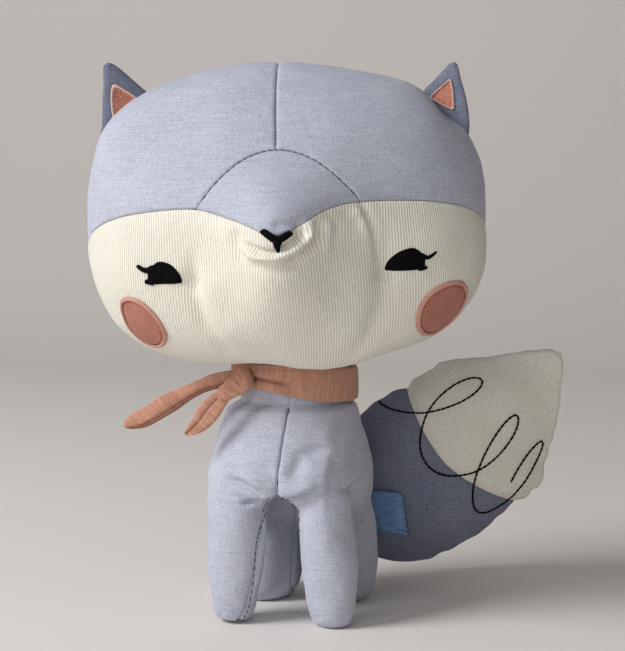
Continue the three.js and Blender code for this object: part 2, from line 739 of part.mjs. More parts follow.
// The face angles of the surface point nearest to a point beside it, by walking the direction towards it
function faceAnglesOf(point) {
  const direction = point.clone().sub(headCentre).normalize();
  for (let i = 0; i < patchSearchSteps; i++) {
    const miss = point.clone().sub(headSurface(direction));
    miss.addScaledVector(headNormal(direction), -miss.dot(headNormal(direction)));
    direction.addScaledVector(miss, patchSearchShare / headHalfWidth).normalize();
  }
  const away = THREE.MathUtils.radToDeg(Math.acos(-direction.y));
  const share = away / Math.hypot(direction.x, direction.z);
  return [direction.x * share, direction.z * share];
}

// One stroke of satin stitch on the muzzle, between two places given in face angles
function noseStroke(from, to) {
  const [start, end] = [from, to].map(([side, up]) => headPoint(side, up, 0));
  const way = end.clone().sub(start);
  const over = way.clone().setLength(noseStrokeOverlap);
  const columns = steps(noseStrokeSteps, 0, 1).map((t) => {
    const middle = start.clone().sub(over).addScaledVector(way.clone().addScaledVector(over, 2), t);
    const normal = headNormal(middle.clone().sub(headCentre).normalize());
    const across = way.clone().cross(normal).setLength(noseStrokeWidth / 2);
    return [-1, 0, 1].map((k) => faceAnglesOf(middle.clone().addScaledVector(across, k)));
  });
  return headPatch(columns, threadThickness);
}
function noseStitch() {
  const join = [0, -noseJoinAngle];
  const strokes = [
    noseStroke([-noseArmAngle, -noseArmTop], join),
    noseStroke([noseArmAngle, -noseArmTop], join),
    noseStroke([0, -noseJoinAngle + noseFootLift], [0, -noseFootAngle]),
  ];
  return toGeometry(strokes.map(toSolid).reduce((whole, stroke) => whole.add(stroke)));
}

// An ear in its own frame: the sewn edge along X at height zero, the front along -Y
function earFrame(side) {
  const [inner, outer] = [earInnerAngle, earOuterAngle].map((turn) => {
    const [x, up] = sidePoint(turn, earSeamAngle);
    return headPoint(side * x, up, 0);
  });
  const along = (side > 0 ? outer.clone().sub(inner) : inner.clone().sub(outer)).normalize();
  const middle = inner.clone().add(outer).divideScalar(2);
  const [x, up] = sidePoint((earInnerAngle + earOuterAngle) / 2, earSeamAngle);
  const crest = headPoint(side * x, up, 0);
  const back = vector(0, 1, 0).addScaledVector(along, -along.y).normalize();
  const rise = along.clone().cross(back);
  const height = crest.clone().sub(middle).dot(rise) + fitGap;
  const axis = middle.addScaledVector(rise, height + earThickness / 2);
  return { along, back, rise, axis, width: inner.distanceTo(outer) };
}
function earOutline(frame, side, inset) {
  const half = frame.width / 2 - inset;
  const tip = -side * frame.width * earTipInShare;
  const shape = new THREE.Shape();
  const low = -earThickness / 2 + inset;
  const tall = earHeight - liningTipShare * inset;
  shape.moveTo(-half, low);
  shape.lineTo(half, low);
  shape.quadraticCurveTo((half + tip) / 2 + earEdgeRound, (low + tall) / 2, tip + earEdgeRound / 2, tall);
  shape.lineTo(tip - earEdgeRound / 2, tall);
  shape.quadraticCurveTo((tip - half) / 2 - earEdgeRound, (low + tall) / 2, -half, low);
  return shape;
}
function earPlate(frame, side) {
  const flat = new THREE.ExtrudeGeometry(earOutline(frame, side, earEdgeRound), {
    depth: earThickness - 2 * earEdgeRound,
    bevelSize: earEdgeRound,
    bevelThickness: earEdgeRound,
    bevelSegments: earEdgeSteps,
    curveSegments: earCurveSteps,
  });
  flat.translate(0, 0, -(earThickness - 2 * earEdgeRound) / 2);
  return placedOnEar(flat, frame);
}
function earLining(frame, side) {
  const flat = new THREE.ExtrudeGeometry(earOutline(frame, side, liningInset), {
    depth: liningThickness,
    bevelEnabled: false,
    curveSegments: earCurveSteps,
  });
  flat.translate(0, 0, earThickness / 2 + fitGap);
  return placedOnEar(flat, frame);
}
function placedOnEar(flat, frame) {
  const front = frame.back.clone().negate();
  flat.applyMatrix4(new THREE.Matrix4().makeBasis(frame.along, frame.rise, front).setPosition(frame.axis));
  const place = flat.getAttribute('position');
  const triangles = [];
  for (let i = 0; i < place.count; i += 3) {
    triangles.push([0, 1, 2].map((k) => new THREE.Vector3().fromBufferAttribute(place, i + k)));
  }
  return closedGeometry(triangles);
}

// Scarf pieces
function scarfBand() {
  const round = scarfEdgeRound;
  const [low, high] = [scarfBottom, scarfTop];
  const profile = [
    [scarfInnerRadius, low + round],
    [scarfInnerRadius + round, low],
    [scarfOuterRadius - round, low],
    [scarfOuterRadius, low + round],
    [scarfOuterRadius, high - round],
    [scarfOuterRadius - round, high],
    [scarfInnerRadius + round, high],
    [scarfInnerRadius, high - round],
    [scarfInnerRadius, low + round],
  ].map(([radius, height]) => new THREE.Vector2(radius, height));
  return turned(profile, scarfSteps);
}
function scarfClearance() {
  const profile = [
    [0, scarfBottom - cutOverrun],
    [scarfOuterRadius + fitGap, scarfBottom - cutOverrun],
    [scarfOuterRadius + fitGap, scarfTop + cutOverrun],
    [0, scarfTop + cutOverrun],
  ].map(([radius, height]) => new THREE.Vector2(radius, height));
  return turned(profile, scarfSteps);
}
const knotPlace = vector(knotRight, -knotForward, knotHeight);
function knotGrid(grow) {
  const rows = steps(knotRows, -Math.PI / 2, Math.PI / 2);
  return steps(knotColumns, 0, 2 * Math.PI)
    .slice(0, -1)
    .map((turn) =>
      rows.map((tilt) => {
        const [x, y] = ovalPoint(turn, knotWidth / 2 + grow, knotDepth / 2 + grow, knotRoundness);
        const [across, rise] = ovalPoint(tilt, 1, knotRise / 2 + grow, knotRoundness);
        const narrow = Math.abs(tilt) === Math.PI / 2 ? 0 : across;
        return knotPlace.clone().add(vector(x * narrow, y * narrow, rise));
      }),
    );
}

// A flat tube that leaves the knot, widens, sags and ends round
function scarfEnd(end) {
  const start = knotPlace.clone().add(vector(0, -end.layer, 0));
  const finish = start.clone().add(vector(-end.reach, -end.forward, -end.drop));
  const way = finish.clone().sub(start).normalize();
  const face = vector(0, -1, 0).addScaledVector(way, way.y).normalize();
  const across = way.clone().cross(face).normalize();
  const length = finish.distanceTo(start);
  const columns = steps(scarfEndSides, 0, 2 * Math.PI).slice(0, -1);
  return columns.map((turn) =>
    steps(scarfEndSteps, 0, 1).map((t) => {
      const round = Math.sqrt(1 - Math.max(0, (t - 1 + endTipShare) / endTipShare) ** 2);
      const spread = THREE.MathUtils.lerp(endRootShare, 1, Math.min(1, t / endWideShare)) * round;
      const [u, v] = ovalPoint(turn, (end.width / 2) * spread, (scarfEndThickness / 2) * round, endRoundness);
      const bow = end.sag * Math.sin(Math.PI * t);
      const centre = start.clone().addScaledVector(way, length * t).addScaledVector(across, bow);
      return centre.addScaledVector(across, u).addScaledVector(face, v);
    }),
  );
}
const endLayer = (scarfEndThickness + runningGap) / 2;
const longEnd = {
  layer: -endLayer,
  reach: longEndReach,
  drop: longEndDrop,
  forward: longEndForward,
  sag: longEndSag,
  width: longEndWidth,
};
const shortEnd = {
  layer: endLayer,
  reach: shortEndReach,
  drop: shortEndDrop,
  forward: shortEndForward,
  sag: shortEndSag,
  width: shortEndWidth,
};

function labelTab() {
  const layer = (lift) =>
    steps(labelSteps, -labelWidth / 2, labelWidth / 2).map((x) =>
      steps(labelSteps, -labelHeight / 2, labelHeight / 2).map((z) => {
        const [right, up] = [labelRight + x, labelCentreHeight + z];
        return vector(right, tailFrontAt(right, up) - lift, up);
      }),
    );
  return shell(layer(patchLift + fitGap + labelThickness), layer(patchLift + fitGap));
}

// Assembly
const fox = new THREE.Group();
const head = new THREE.Group();
head.position.set(0, 0, neckPivotHeight);
head.setRotationFromMatrix(headTurn);
fox.add(head);

function addPiece(parent, name, geometry, finish) {
  const mesh = new THREE.Mesh(geometry, finish);
  mesh.name = name;
  parent.add(mesh);
}

// The line that each moving piece turns about, kept with the fox for whoever poses it
fox.userData.hinges = {};
function addHinge(name, parent, point, axis) {
  fox.userData.hinges[name] = { parent, point, axis: axis.clone().normalize() };
}
addHinge('head_turn', fox, vector(0, 0, neckPivotHeight), vector(0, 0, 1));
const nodAxis = vector(Math.cos(radians(headYaw)), Math.sin(radians(headYaw)), 0);
addHinge('head_nod', fox, vector(0, 0, neckPivotHeight), nodAxis);
addHinge('tail_swing', fox, vector(tailRootRight, tailRootBack, tailRootHeight), vector(0, 0, 1));
addHinge('scarf_turn', fox, vector(0, 0, scarfBottom), vector(0, 0, 1));
for (const name of ['scarf_long_swing', 'scarf_short_swing']) addHinge(name, fox, knotPlace, vector(0, 1, 0));

const well = neckWell();
for (const [name, panel] of Object.entries(headPanels)) {
  const geometry = headPanel(panel);
  const reachesNeck = name === 'face_panel' || name.startsWith('head_back');
  addPiece(
    head,
    name,
    reachesNeck ? cutFrom(geometry, [well]) : geometry,
    name === 'face_panel' ? finishes.whiteRib : finishes.blueCotton,
  );
}
addPiece(head, 'head_filling', cutFrom(headFilling(), [well]), finishes.fibre);
for (const [side, label] of [
  [-1, 'left'],
  [1, 'right'],
]) {
  const frame = earFrame(side);
  addHinge(`ear_${label}_fold`, head, frame.axis, frame.along);
  addPiece(head, `ear_${label}`, earPlate(frame, side), finishes.blueCotton);
  addPiece(head, `ear_lining_${label}`, earLining(frame, side), finishes.coralCotton);
  addPiece(head, `eye_${label}`, eyePatch(side), finishes.blackThread);
  addPiece(head, `cheek_${label}`, cheekPatch(side), finishes.cheekCotton);
}
addPiece(head, 'nose_stitch', noseStitch(), finishes.blackThread);

const neckGroup = new THREE.Group();
neckGroup.position.set(0, 0, neckPivotHeight);
fox.add(neckGroup);
addPiece(neckGroup, 'neck_filling', neckFilling(), finishes.fibre);

const torsoOuter = torsoGrid();
const torsoInner = insetGrid(torsoOuter, clothThickness);
const torsoClearance = skin(insetGrid(torsoOuter, -fitGap));
const halfTurn = torsoColumns / 2;
const topRow = torsoOuter[0].length - 1;
const bodyEdges = ['left', 'right'];
addPiece(
  fox,
  'torso_cover_right',
  slicedPanel(torsoOuter, torsoInner, [0, halfTurn, 0, topRow], bodyEdges),
  finishes.blueCotton,
);
addPiece(
  fox,
  'torso_cover_left',
  slicedPanel(torsoOuter, torsoInner, [halfTurn, torsoColumns, 0, topRow], bodyEdges),
  finishes.blueCotton,
);
addPiece(fox, 'torso_filling', skin(insetGrid(torsoOuter, clothThickness + fitGap)), finishes.fibre);

const legPairs = {
  front: {
    rows: frontLegRowShares,
    spread: frontLegSpread,
    leanIn: frontLegLeanIn,
    leanBack: frontLegLeanBack,
    radius: frontLegRadius,
    stretch: 1,
    y: -frontLegForward,
    height: frontLegHeight,
  },
  hind: {
    rows: hindLegRowShares,
    spread: hindLegSpread,
    leanIn: 0,
    leanBack: 0,
    radius: hindLegRadius,
    stretch: hindLegStretch,
    y: hindLegBack,
    height: hindLegHeight,
  },
};
for (const [pair, leg] of Object.entries(legPairs)) {
  for (const [side, label] of [
    [-1, 'left'],
    [1, 'right'],
  ]) {
    const outer = legGrid(leg.rows, { ...leg, side });
    const cavity = skin(insetGrid(outer, clothThickness));
    const filling = skin(insetGrid(outer, clothThickness + fitGap));
    const cover = cutFrom(skin(outer), [torsoClearance, cavity]);
    addPiece(fox, `${pair}_leg_cover_${label}`, cover, finishes.blueCotton);
    addPiece(fox, `${pair}_leg_filling_${label}`, cutFrom(filling, [torsoClearance]), finishes.fibre);
  }
}

const tailOuter = tailGrid();
const tailInner = insetGrid(tailOuter, clothThickness);
const edgeColumn = tailColumns / 2;
const tipRow = tailRowShares.length - 1;
const tailParts = [
  ['tail_base_front', [0, edgeColumn, 0, tailColourRow], 'top', finishes.blueCotton],
  ['tail_base_back', [edgeColumn, tailColumns, 0, tailColourRow], 'top', finishes.blueCotton],
  ['tail_tip_front', [0, edgeColumn, tailColourRow, tipRow], 'bottom', finishes.whiteRib],
  ['tail_tip_back', [edgeColumn, tailColumns, tailColourRow, tipRow], 'bottom', finishes.whiteRib],
];
for (const [name, span, colourEdge, finish] of tailParts) {
  const panel = slicedPanel(tailOuter, tailInner, span, ['left', 'right', colourEdge]);
  addPiece(fox, name, colourEdge === 'top' ? cutFrom(panel, [torsoClearance]) : panel, finish);
}
const tailStuffing = skin(insetGrid(tailOuter, clothThickness + fitGap));
addPiece(fox, 'tail_filling', cutFrom(tailStuffing, [torsoClearance]), finishes.fibre);
addPiece(fox, 'label_tab', labelTab(), finishes.blueRibbon);

addPiece(fox, 'scarf_band', scarfBand(), finishes.coralCotton);
addPiece(fox, 'scarf_knot', cutFrom(skin(knotGrid(0)), [scarfClearance()]), finishes.coralCotton);
const knotRoom = skin(knotGrid(runningGap));
addPiece(fox, 'scarf_end_long', cutFrom(skin(scarfEnd(longEnd)), [knotRoom]), finishes.coralCotton);
addPiece(fox, 'scarf_end_short', cutFrom(skin(scarfEnd(shortEnd)), [knotRoom]), finishes.coralCotton);

// The origin is the middle of the fox's footprint, on the surface that it stands on
const bounds = new THREE.Box3().setFromObject(fox, true);
const footprint = bounds.getCenter(new THREE.Vector3());
fox.position.set(-footprint.x, -footprint.y, -bounds.min.z);
fox.updateMatrixWorld(true);

export default fox;
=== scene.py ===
import math

import bmesh
import bpy
from mathutils import Matrix, Vector, noise
from mathutils.bvhtree import BVHTree
from mathutils.kdtree import KDTree


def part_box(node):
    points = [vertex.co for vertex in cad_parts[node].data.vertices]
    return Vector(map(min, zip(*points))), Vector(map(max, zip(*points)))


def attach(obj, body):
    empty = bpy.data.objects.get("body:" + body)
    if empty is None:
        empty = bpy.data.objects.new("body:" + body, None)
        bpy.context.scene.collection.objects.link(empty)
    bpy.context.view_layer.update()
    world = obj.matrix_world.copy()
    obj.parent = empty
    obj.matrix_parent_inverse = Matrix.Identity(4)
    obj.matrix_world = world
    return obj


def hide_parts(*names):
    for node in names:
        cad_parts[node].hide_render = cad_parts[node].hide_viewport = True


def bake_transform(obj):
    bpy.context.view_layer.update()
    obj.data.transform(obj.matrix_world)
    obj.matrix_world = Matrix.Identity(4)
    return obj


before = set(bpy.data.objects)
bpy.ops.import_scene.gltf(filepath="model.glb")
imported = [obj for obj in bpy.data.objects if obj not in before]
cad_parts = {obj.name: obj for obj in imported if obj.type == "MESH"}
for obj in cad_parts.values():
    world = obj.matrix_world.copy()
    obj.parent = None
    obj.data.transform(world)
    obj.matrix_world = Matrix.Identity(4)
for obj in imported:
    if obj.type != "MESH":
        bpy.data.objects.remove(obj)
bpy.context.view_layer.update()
print("loaded the packed fox")

# Places below are in millimetres from the middle of the neck, on the floor; toFrame gives the frame's metres
bandLow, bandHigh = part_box("scarf_band")
neckMiddle = Vector(((bandLow[0] + bandHigh[0]) / 2, (bandLow[1] + bandHigh[1]) / 2, 0))


def toFrame(place):
    return neckMiddle + Vector(place) * 0.001


# Camera, at the photograph's angle
view = {"azimuth": 10, "elevation": 4, "distance": 720, "target": (8, 0, 130), "focalLength": 87.5}
turn, rise = math.radians(view["azimuth"]), math.radians(view["elevation"])
away = Vector((math.sin(turn) * math.cos(rise), -math.cos(turn) * math.cos(rise), math.sin(rise)))
cameraData = bpy.data.cameras.new("camera")
cameraData.lens = view["focalLength"]
cameraData.sensor_width = 36
cameraData.clip_start = 0.01
camera = bpy.data.objects.new("camera", cameraData)
camera.location = toFrame(view["target"]) + away * view["distance"] * 0.001
camera.rotation_euler = (-away).to_track_quat("-Z", "Y").to_euler()
bpy.context.collection.objects.link(camera)
bpy.context.scene.camera = camera
bpy.context.scene.view_settings.view_transform = "Standard"
print("camera is set")


# Finishes
def linear(hexText):
    parts = [int(hexText[i : i + 2], 16) / 255 for i in (1, 3, 5)]
    return (*[p / 12.92 if p <= 0.04045 else ((p + 0.055) / 1.055) ** 2.4 for p in parts], 1)


def addNode(tree, kind, settings=None, links=None):
    # One node with its settings (of the node or of its sockets) and what is plugged into it
    node = tree.nodes.new("ShaderNode" + kind)
    for key, value in (settings or {}).items():
        if isinstance(key, str) and hasattr(node, key):
            setattr(node, key, value)
        else:
            node.inputs[key].default_value = value
    for key, source in (links or {}).items():
        tree.links.new(source, node.inputs[key])
    return node


def makeCloth(name, cloth):
    # A cloth whose threads and grain are patterns in millimetres. A pattern's row is: texture, settings, stretch,
    # the axis that its threads run across, share in the colour, share in the relief
    finish = bpy.data.materials.new(name)
    finish.use_nodes = True
    tree = finish.node_tree
    tree.nodes.clear()
    shading = {"Roughness": cloth["roughness"], "Sheen Weight": cloth["sheen"], "Sheen Roughness": 0.5}
    shader = addNode(tree, "BsdfPrincipled", shading | {"Specular IOR Level": cloth.get("gloss", 0.3)})
    addNode(tree, "OutputMaterial", {}, {"Surface": shader.outputs[0]})
    onUv = cloth["map"] == "cloth"
    source = addNode(tree, "UVMap", {"uv_map": "cloth"}) if onUv else addNode(tree, "TexCoord")
    size = {"Scale": (1, 1, 1) if onUv else (1000, 1000, 1000)}
    place = addNode(tree, "Mapping", size, {"Vector": source.outputs["UV" if onUv else "Object"]})
    across = None
    if cloth["map"] == "weave":
        # How far the cloth lies along each axis, so that each set of threads shows only there
        normal = source.outputs["Normal"]
        squared = addNode(tree, "VectorMath", {"operation": "MULTIPLY"}, {0: normal, 1: normal})
        lies = addNode(tree, "VectorMath", {"operation": "SUBTRACT", 0: (1, 1, 1)}, {1: squared.outputs[0]})
        across = addNode(tree, "SeparateXYZ", {}, {0: lies.outputs[0]})
    sums = {"colour": None, "relief": None}
    for kind, settings, stretch, along, colourShare, reliefShare in cloth["patterns"]:
        widths = {"operation": "MULTIPLY", 1: stretch}
        stretched = addNode(tree, "VectorMath", widths, {0: place.outputs[0]})
        texture = addNode(tree, kind, settings, {"Vector": stretched.outputs[0]})
        value = texture.outputs["Distance" if kind == "TexVoronoi" else "Fac"]
        if across and along is not None:
            lying = {0: value, 1: across.outputs[along]}
            value = addNode(tree, "Math", {"operation": "MULTIPLY"}, lying).outputs[0]
        for use, weight in (("colour", colourShare), ("relief", reliefShare)):
            share = addNode(tree, "Math", {"operation": "MULTIPLY", 1: weight}, {0: value}).outputs[0]
            if sums[use]:
                share = addNode(tree, "Math", {"operation": "ADD"}, {0: sums[use], 1: share}).outputs[0]
            sums[use] = share
    low, high = cloth["spread"]
    factor = addNode(tree, "MapRange", {"From Min": low, "From Max": high}, {"Value": sums["colour"]})
    colours = {"data_type": "RGBA", 6: linear(cloth["deep"]), 7: linear(cloth["pale"])}
    colour = addNode(tree, "Mix", colours, {0: factor.outputs[0]})
    tree.links.new(colour.outputs[2], shader.inputs["Base Color"])
    relief = {"Strength": cloth["strength"], "Distance": cloth["height"] * 0.001}
    bump = addNode(tree, "Bump", relief, {"Height": sums["relief"]})
    tree.links.new(bump.outputs[0], shader.inputs["Normal"])
    return finish


plain = (1, 1, 1)
cloudy = {"Scale": 1, "Detail": 1}
grainy = {"Scale": 1, "Detail": 3}


def threads(pitch, direction, distortion, detail=2):
    # The wave texture's settings for threads or ribs this many millimetres apart
    return {"Scale": 0.31416 / pitch, "bands_direction": direction, "Distortion": distortion, "Detail": detail}


def weavePatterns(pitch):
    # Threads each way, slubs (thicker threads) each way, fuzz and soft patches
    patterns = []
    for axis, direction, colourShare, reliefShare in ((0, "X", 0.08, 0.3), (1, "Y", 0.08, 0.3), (2, "Z", 0.13, 0.45)):
        waves = threads(pitch, direction, 2.6) | {"Detail Scale": 0.5}
        patterns.append(("TexWave", waves, plain, axis, colourShare, reliefShare))
    return patterns + [
        ("TexNoise", grainy, (0.12, 0.12, 1.1), None, 0.2, 0.35),
        ("TexNoise", grainy, (1.2, 1.2, 0.14), None, 0.17, 0.3),
        ("TexNoise", grainy, (1.5, 1.5, 1.5), None, 0.5, 0.45),
        ("TexNoise", cloudy, (0.04, 0.04, 0.04), None, 0.14, 0),
    ]


# Plain-woven cotton and linen in blue and pale threads: matt and grainy, thicker threads here and there
woven = {"map": "weave", "roughness": 0.95, "sheen": 0.12, "height": 0.2}
blueDye = {"deep": "#9197AA", "pale": "#C6C9D6", "spread": (0.4, 0.72), "strength": 0.45}
blueCotton = makeCloth("blueWovenCotton", woven | blueDye | {"patterns": weavePatterns(0.85)})
# Painted shade: a darker copy of the blue cotton's weave for the ears and the tail's base, which stands in for the
# shade that falls on them
earAndTailShadeTone = {"deep": "#555A6B", "pale": "#82879A", "spread": (0.42, 0.7), "strength": 0.5}
shadedBlueCotton = makeCloth("shadedBlueWovenCotton", woven | earAndTailShadeTone | {"patterns": weavePatterns(0.9)})
# Fine rib knit in off-white cotton: round ribs 1.1 mm apart with soft shaded valleys, fuzz, and soft patches
ribCloth = {"map": "cloth", "deep": "#CDC6B3", "pale": "#F4F1E6", "spread": (0.2, 0.66), "roughness": 0.95}
ribPatterns = [
    ("TexWave", threads(1.12, "X", 0.35, 1), plain, None, 0.46, 0.85),
    ("TexNoise", grainy, (1.0, 0.45, 0.45), None, 0.4, 0.2),
    ("TexNoise", cloudy, (0.05, 0.05, 0.05), None, 0.2, 0),
]
ribCloth |= {"sheen": 0.2, "strength": 0.7, "height": 0.32, "patterns": ribPatterns}
whiteRib = makeCloth("whiteRibCotton", ribCloth)
# Thin plain cotton in faded coral, washed: fine crinkles run across the strap
coralCloth = {"map": "cloth", "deep": "#A5705B", "pale": "#D6A48C", "spread": (0.3, 0.72), "roughness": 0.9}
coralCloth |= {"sheen": 0.15, "strength": 0.55, "height": 0.3}
coralPatterns = [
    ("TexWave", threads(0.8, "X", 1.5), plain, None, 0.12, 0.25),
    ("TexNoise", grainy, (0.6, 0.07, 1), None, 0.5, 0.8),
    ("TexNoise", grainy, (1.3, 1.3, 1.3), None, 0.4, 0.2),
]
coralCotton = makeCloth("coralThinCotton", coralCloth | {"patterns": coralPatterns})
# Rose plain weave of the cheeks, close and matt
roseCloth = coralCloth | {"deep": "#96594B", "pale": "#C98A78", "spread": (0.34, 0.66)}
rosePatterns = [
    ("TexWave", threads(0.8, "X", 1.6), plain, None, 0.14, 0.4),
    ("TexWave", threads(0.8, "Y", 1.6), plain, None, 0.14, 0.4),
    ("TexNoise", grainy, (1.5, 1.5, 1), None, 0.52, 0.5),
    ("TexNoise", cloudy, (0.15, 0.15, 1), None, 0.2, 0),
]
roseCotton = makeCloth("roseCotton", roseCloth | {"patterns": rosePatterns})
# Satin stitch in rayon thread, a soft gloss. The real threads of 0.3 mm are drawn 0.55 mm apart so that they show
satin = {"map": "cloth", "spread": (0.25, 0.75), "roughness": 0.55, "sheen": 0.08, "gloss": 0.4, "strength": 0.5}
satin |= {
    "height": 0.16,
    "patterns": [
        ("TexWave", threads(0.55, "X", 0.5, 1), plain, None, 0.5, 0.8),
        ("TexNoise", grainy, (2, 0.3, 1), None, 0.5, 0.2),
    ],
}
blackThread = satin | {"deep": "#030304", "pale": "#0C0D10", "gloss": 0.08, "sheen": 0, "roughness": 0.8}
blackSatin = makeCloth("blackSatinStitch", blackThread)
roseSatin = makeCloth("roseSatinStitch", satin | {"deep": "#B27766", "pale": "#E2AE9D"})
paleCoralSatin = makeCloth("paleCoralSatinStitch", satin | {"deep": "#D8A99B", "pale": "#F8DDD3"})
# Short filling stitches of the ear linings: flecks of lighter and darker coral
seedStitch = satin | {"deep": "#8C4B40", "pale": "#D08A74", "roughness": 0.7, "strength": 0.8, "height": 0.3}
seedPatterns = [
    ("TexVoronoi", {"Scale": 1, "Randomness": 0.8}, (1.1, 1.1, 1), None, 0.9, -0.8),
    ("TexNoise", grainy, (1.5, 1.5, 1), None, 0.4, 0.2),
]
coralSatin = makeCloth("coralSeedStitch", seedStitch | {"spread": (0.25, 0.85), "patterns": seedPatterns})
# Woven twill ribbon in denim blue, its paler weft in fine streaks along the ribbon
ribbonCloth = {"map": "cloth", "deep": "#34598A", "pale": "#8DAFD6", "spread": (0.28, 0.78), "roughness": 0.75}
ribbonPatterns = [
    ("TexNoise", grainy, (0.25, 1.6, 1), None, 0.7, 0.5),
    ("TexNoise", grainy, (1.4, 1.4, 1), None, 0.35, 0.5),
]
ribbonCloth |= {"sheen": 0.1, "strength": 0.4, "height": 0.12, "patterns": ribbonPatterns}
blueRibbon = makeCloth("blueTwillRibbon", ribbonCloth)
# Polyester fibre fill: white, loose, in soft clumps
fibreFill = {"map": "object", "deep": "#DAD7CF", "pale": "#F7F5F0", "spread": (0.35, 0.65), "roughness": 1}
fibreFill |= {"sheen": 0.3, "strength": 0.8, "height": 1}
fibreClumps = [("TexNoise", {"Scale": 1, "Detail": 6}, (0.3, 0.3, 0.3), None, 1, 1)]
fibre = makeCloth("polyesterFibre", fibreFill | {"patterns": fibreClumps})
print("finishes are made")


# Small sums that the pieces share
def between(a, b, t):
    return a + (b - a) * t


def eased(low, high, x):
    # 0 at low, 1 at high, which may be the smaller of the two
    t = min(1.0, max(0.0, (x - low) / (high - low)))
    return t * t * (3 - 2 * t)


def bunched(t):
    return 0.5 - 0.5 * math.cos(math.pi * t)  # closer together at both ends


def curveThrough(points, t):
    # A smooth curve through places or number rows, t from 0 to 1 by count
    last = len(points) - 1
    step = min(int(t * last), last - 1)
    f = t * last - step
    p0, p1, p2, p3 = (points[min(max(step + k, 0), last)] for k in (-1, 0, 1, 2))
    mixed = []
    for a, b, c, d in zip(p0, p1, p2, p3):
        mixed.append(0.5 * (2 * b + (c - a) * f + (2 * a - 5 * b + 4 * c - d) * f * f + (3 * b - a - 3 * c + d) * f**3))
    return mixed


def loopThrough(points, t):
    # The same round a closed outline
    last = len(points)
    step = int(t * last)
    near = [points[(step + k) % last] for k in (-1, 0, 1, 2)]
    return curveThrough(near, (1 + t * last - step) / 3)


def offPath(place, path):
    # Distance from a place to a path of straight stretches, in two or three dimensions, and how far along it is
    best, share = 1e9, 0
    for k in range(len(path) - 1):
        a, b = path[k], path[k + 1]
        way = [q - p for p, q in zip(a, b)]
        size = sum(w * w for w in way)
        f = sum((x - p) * w for x, p, w in zip(place, a, way)) / size
        f = min(1.0, max(0.0, f))
        gap = sum((x - p - w * f) ** 2 for x, p, w in zip(place, a, way))
        if gap < best:
            best, share = gap, (k + f) / (len(path) - 1)
    return math.sqrt(best), share


def foldsAt(place, folds):
    # Each fold is a path, how wide it is and how far it stands out (or sinks in); it fades at its ends, or is "whole"
    lift = 0
    for path, width, height, *whole in folds:
        gap, share = offPath(place, path)
        if gap < 3 * width:
            fade = 1 if whole else eased(0, 0.3, share) * eased(1, 0.7, share)
            lift += height * fade * math.exp(-((gap / width) ** 2))
    return lift


def rolled(gap, width, depth):
    # How far cloth has turned down at this distance from a seam
    if gap >= width:
        return 0
    s = 1 - gap / width
    return -depth * (1 - math.sqrt(max(0, 1 - s * s)))


# Mesh helpers
def count(number):
    return int(number * 1.0 / 6) * 6


def grid(mesh, columns, rows, placeAt, clothAt):
    # A woven sheet: a plain grid whose corners are moved to placeAt and whose cloth map is in millimetres
    clothMap = mesh.loops.layers.uv.get("cloth") or mesh.loops.layers.uv.new("cloth")
    made = bmesh.ops.create_grid(mesh, x_segments=columns, y_segments=rows, size=0.5)["verts"]
    shares = {vert: (vert.co.x + 0.5, vert.co.y + 0.5) for vert in made}
    for face in {face for vert in made for face in vert.link_faces}:
        for loop in face.loops:
            loop[clothMap].uv = clothAt(*shares[loop.vert])
    for vert, (u, w) in shares.items():
        vert.co = placeAt(u, w)
    return made


def joinEnds(mesh, made, distance=0.001):
    bmesh.ops.remove_doubles(mesh, verts=[vert for vert in made if vert.is_valid], dist=distance)
    bmesh.ops.dissolve_degenerate(mesh, edges=mesh.edges[:], dist=0.0002)


def addDisc(mesh, columns, rows, placeAt, clothAt):
    # Rows run from near the middle, whose small hole is filled, to the edge
    joinEnds(mesh, grid(mesh, columns, rows, placeAt, clothAt))
    middle = placeAt(0, 0)
    near = [edge for edge in mesh.edges if edge.is_boundary and all(math.dist(v.co, middle) < 1.5 for v in edge.verts)]
    bmesh.ops.holes_fill(mesh, edges=near, sides=0)


def faceOut(mesh, inside):
    inside = Vector(inside)
    outward = sum(face.normal.dot(face.calc_center_median() - inside) * face.calc_area() for face in mesh.faces)
    if outward < 0:
        bmesh.ops.reverse_faces(mesh, faces=mesh.faces[:])


# How the simulated cloth moves each place of a stuffed part, by the body that it rides on
swell = {}
stuffed = {"pressure": 4, "frames": 20, "smaller": 0.9, "most": 2.2, "looser": -0.04, "evened": 7, "held": 3}


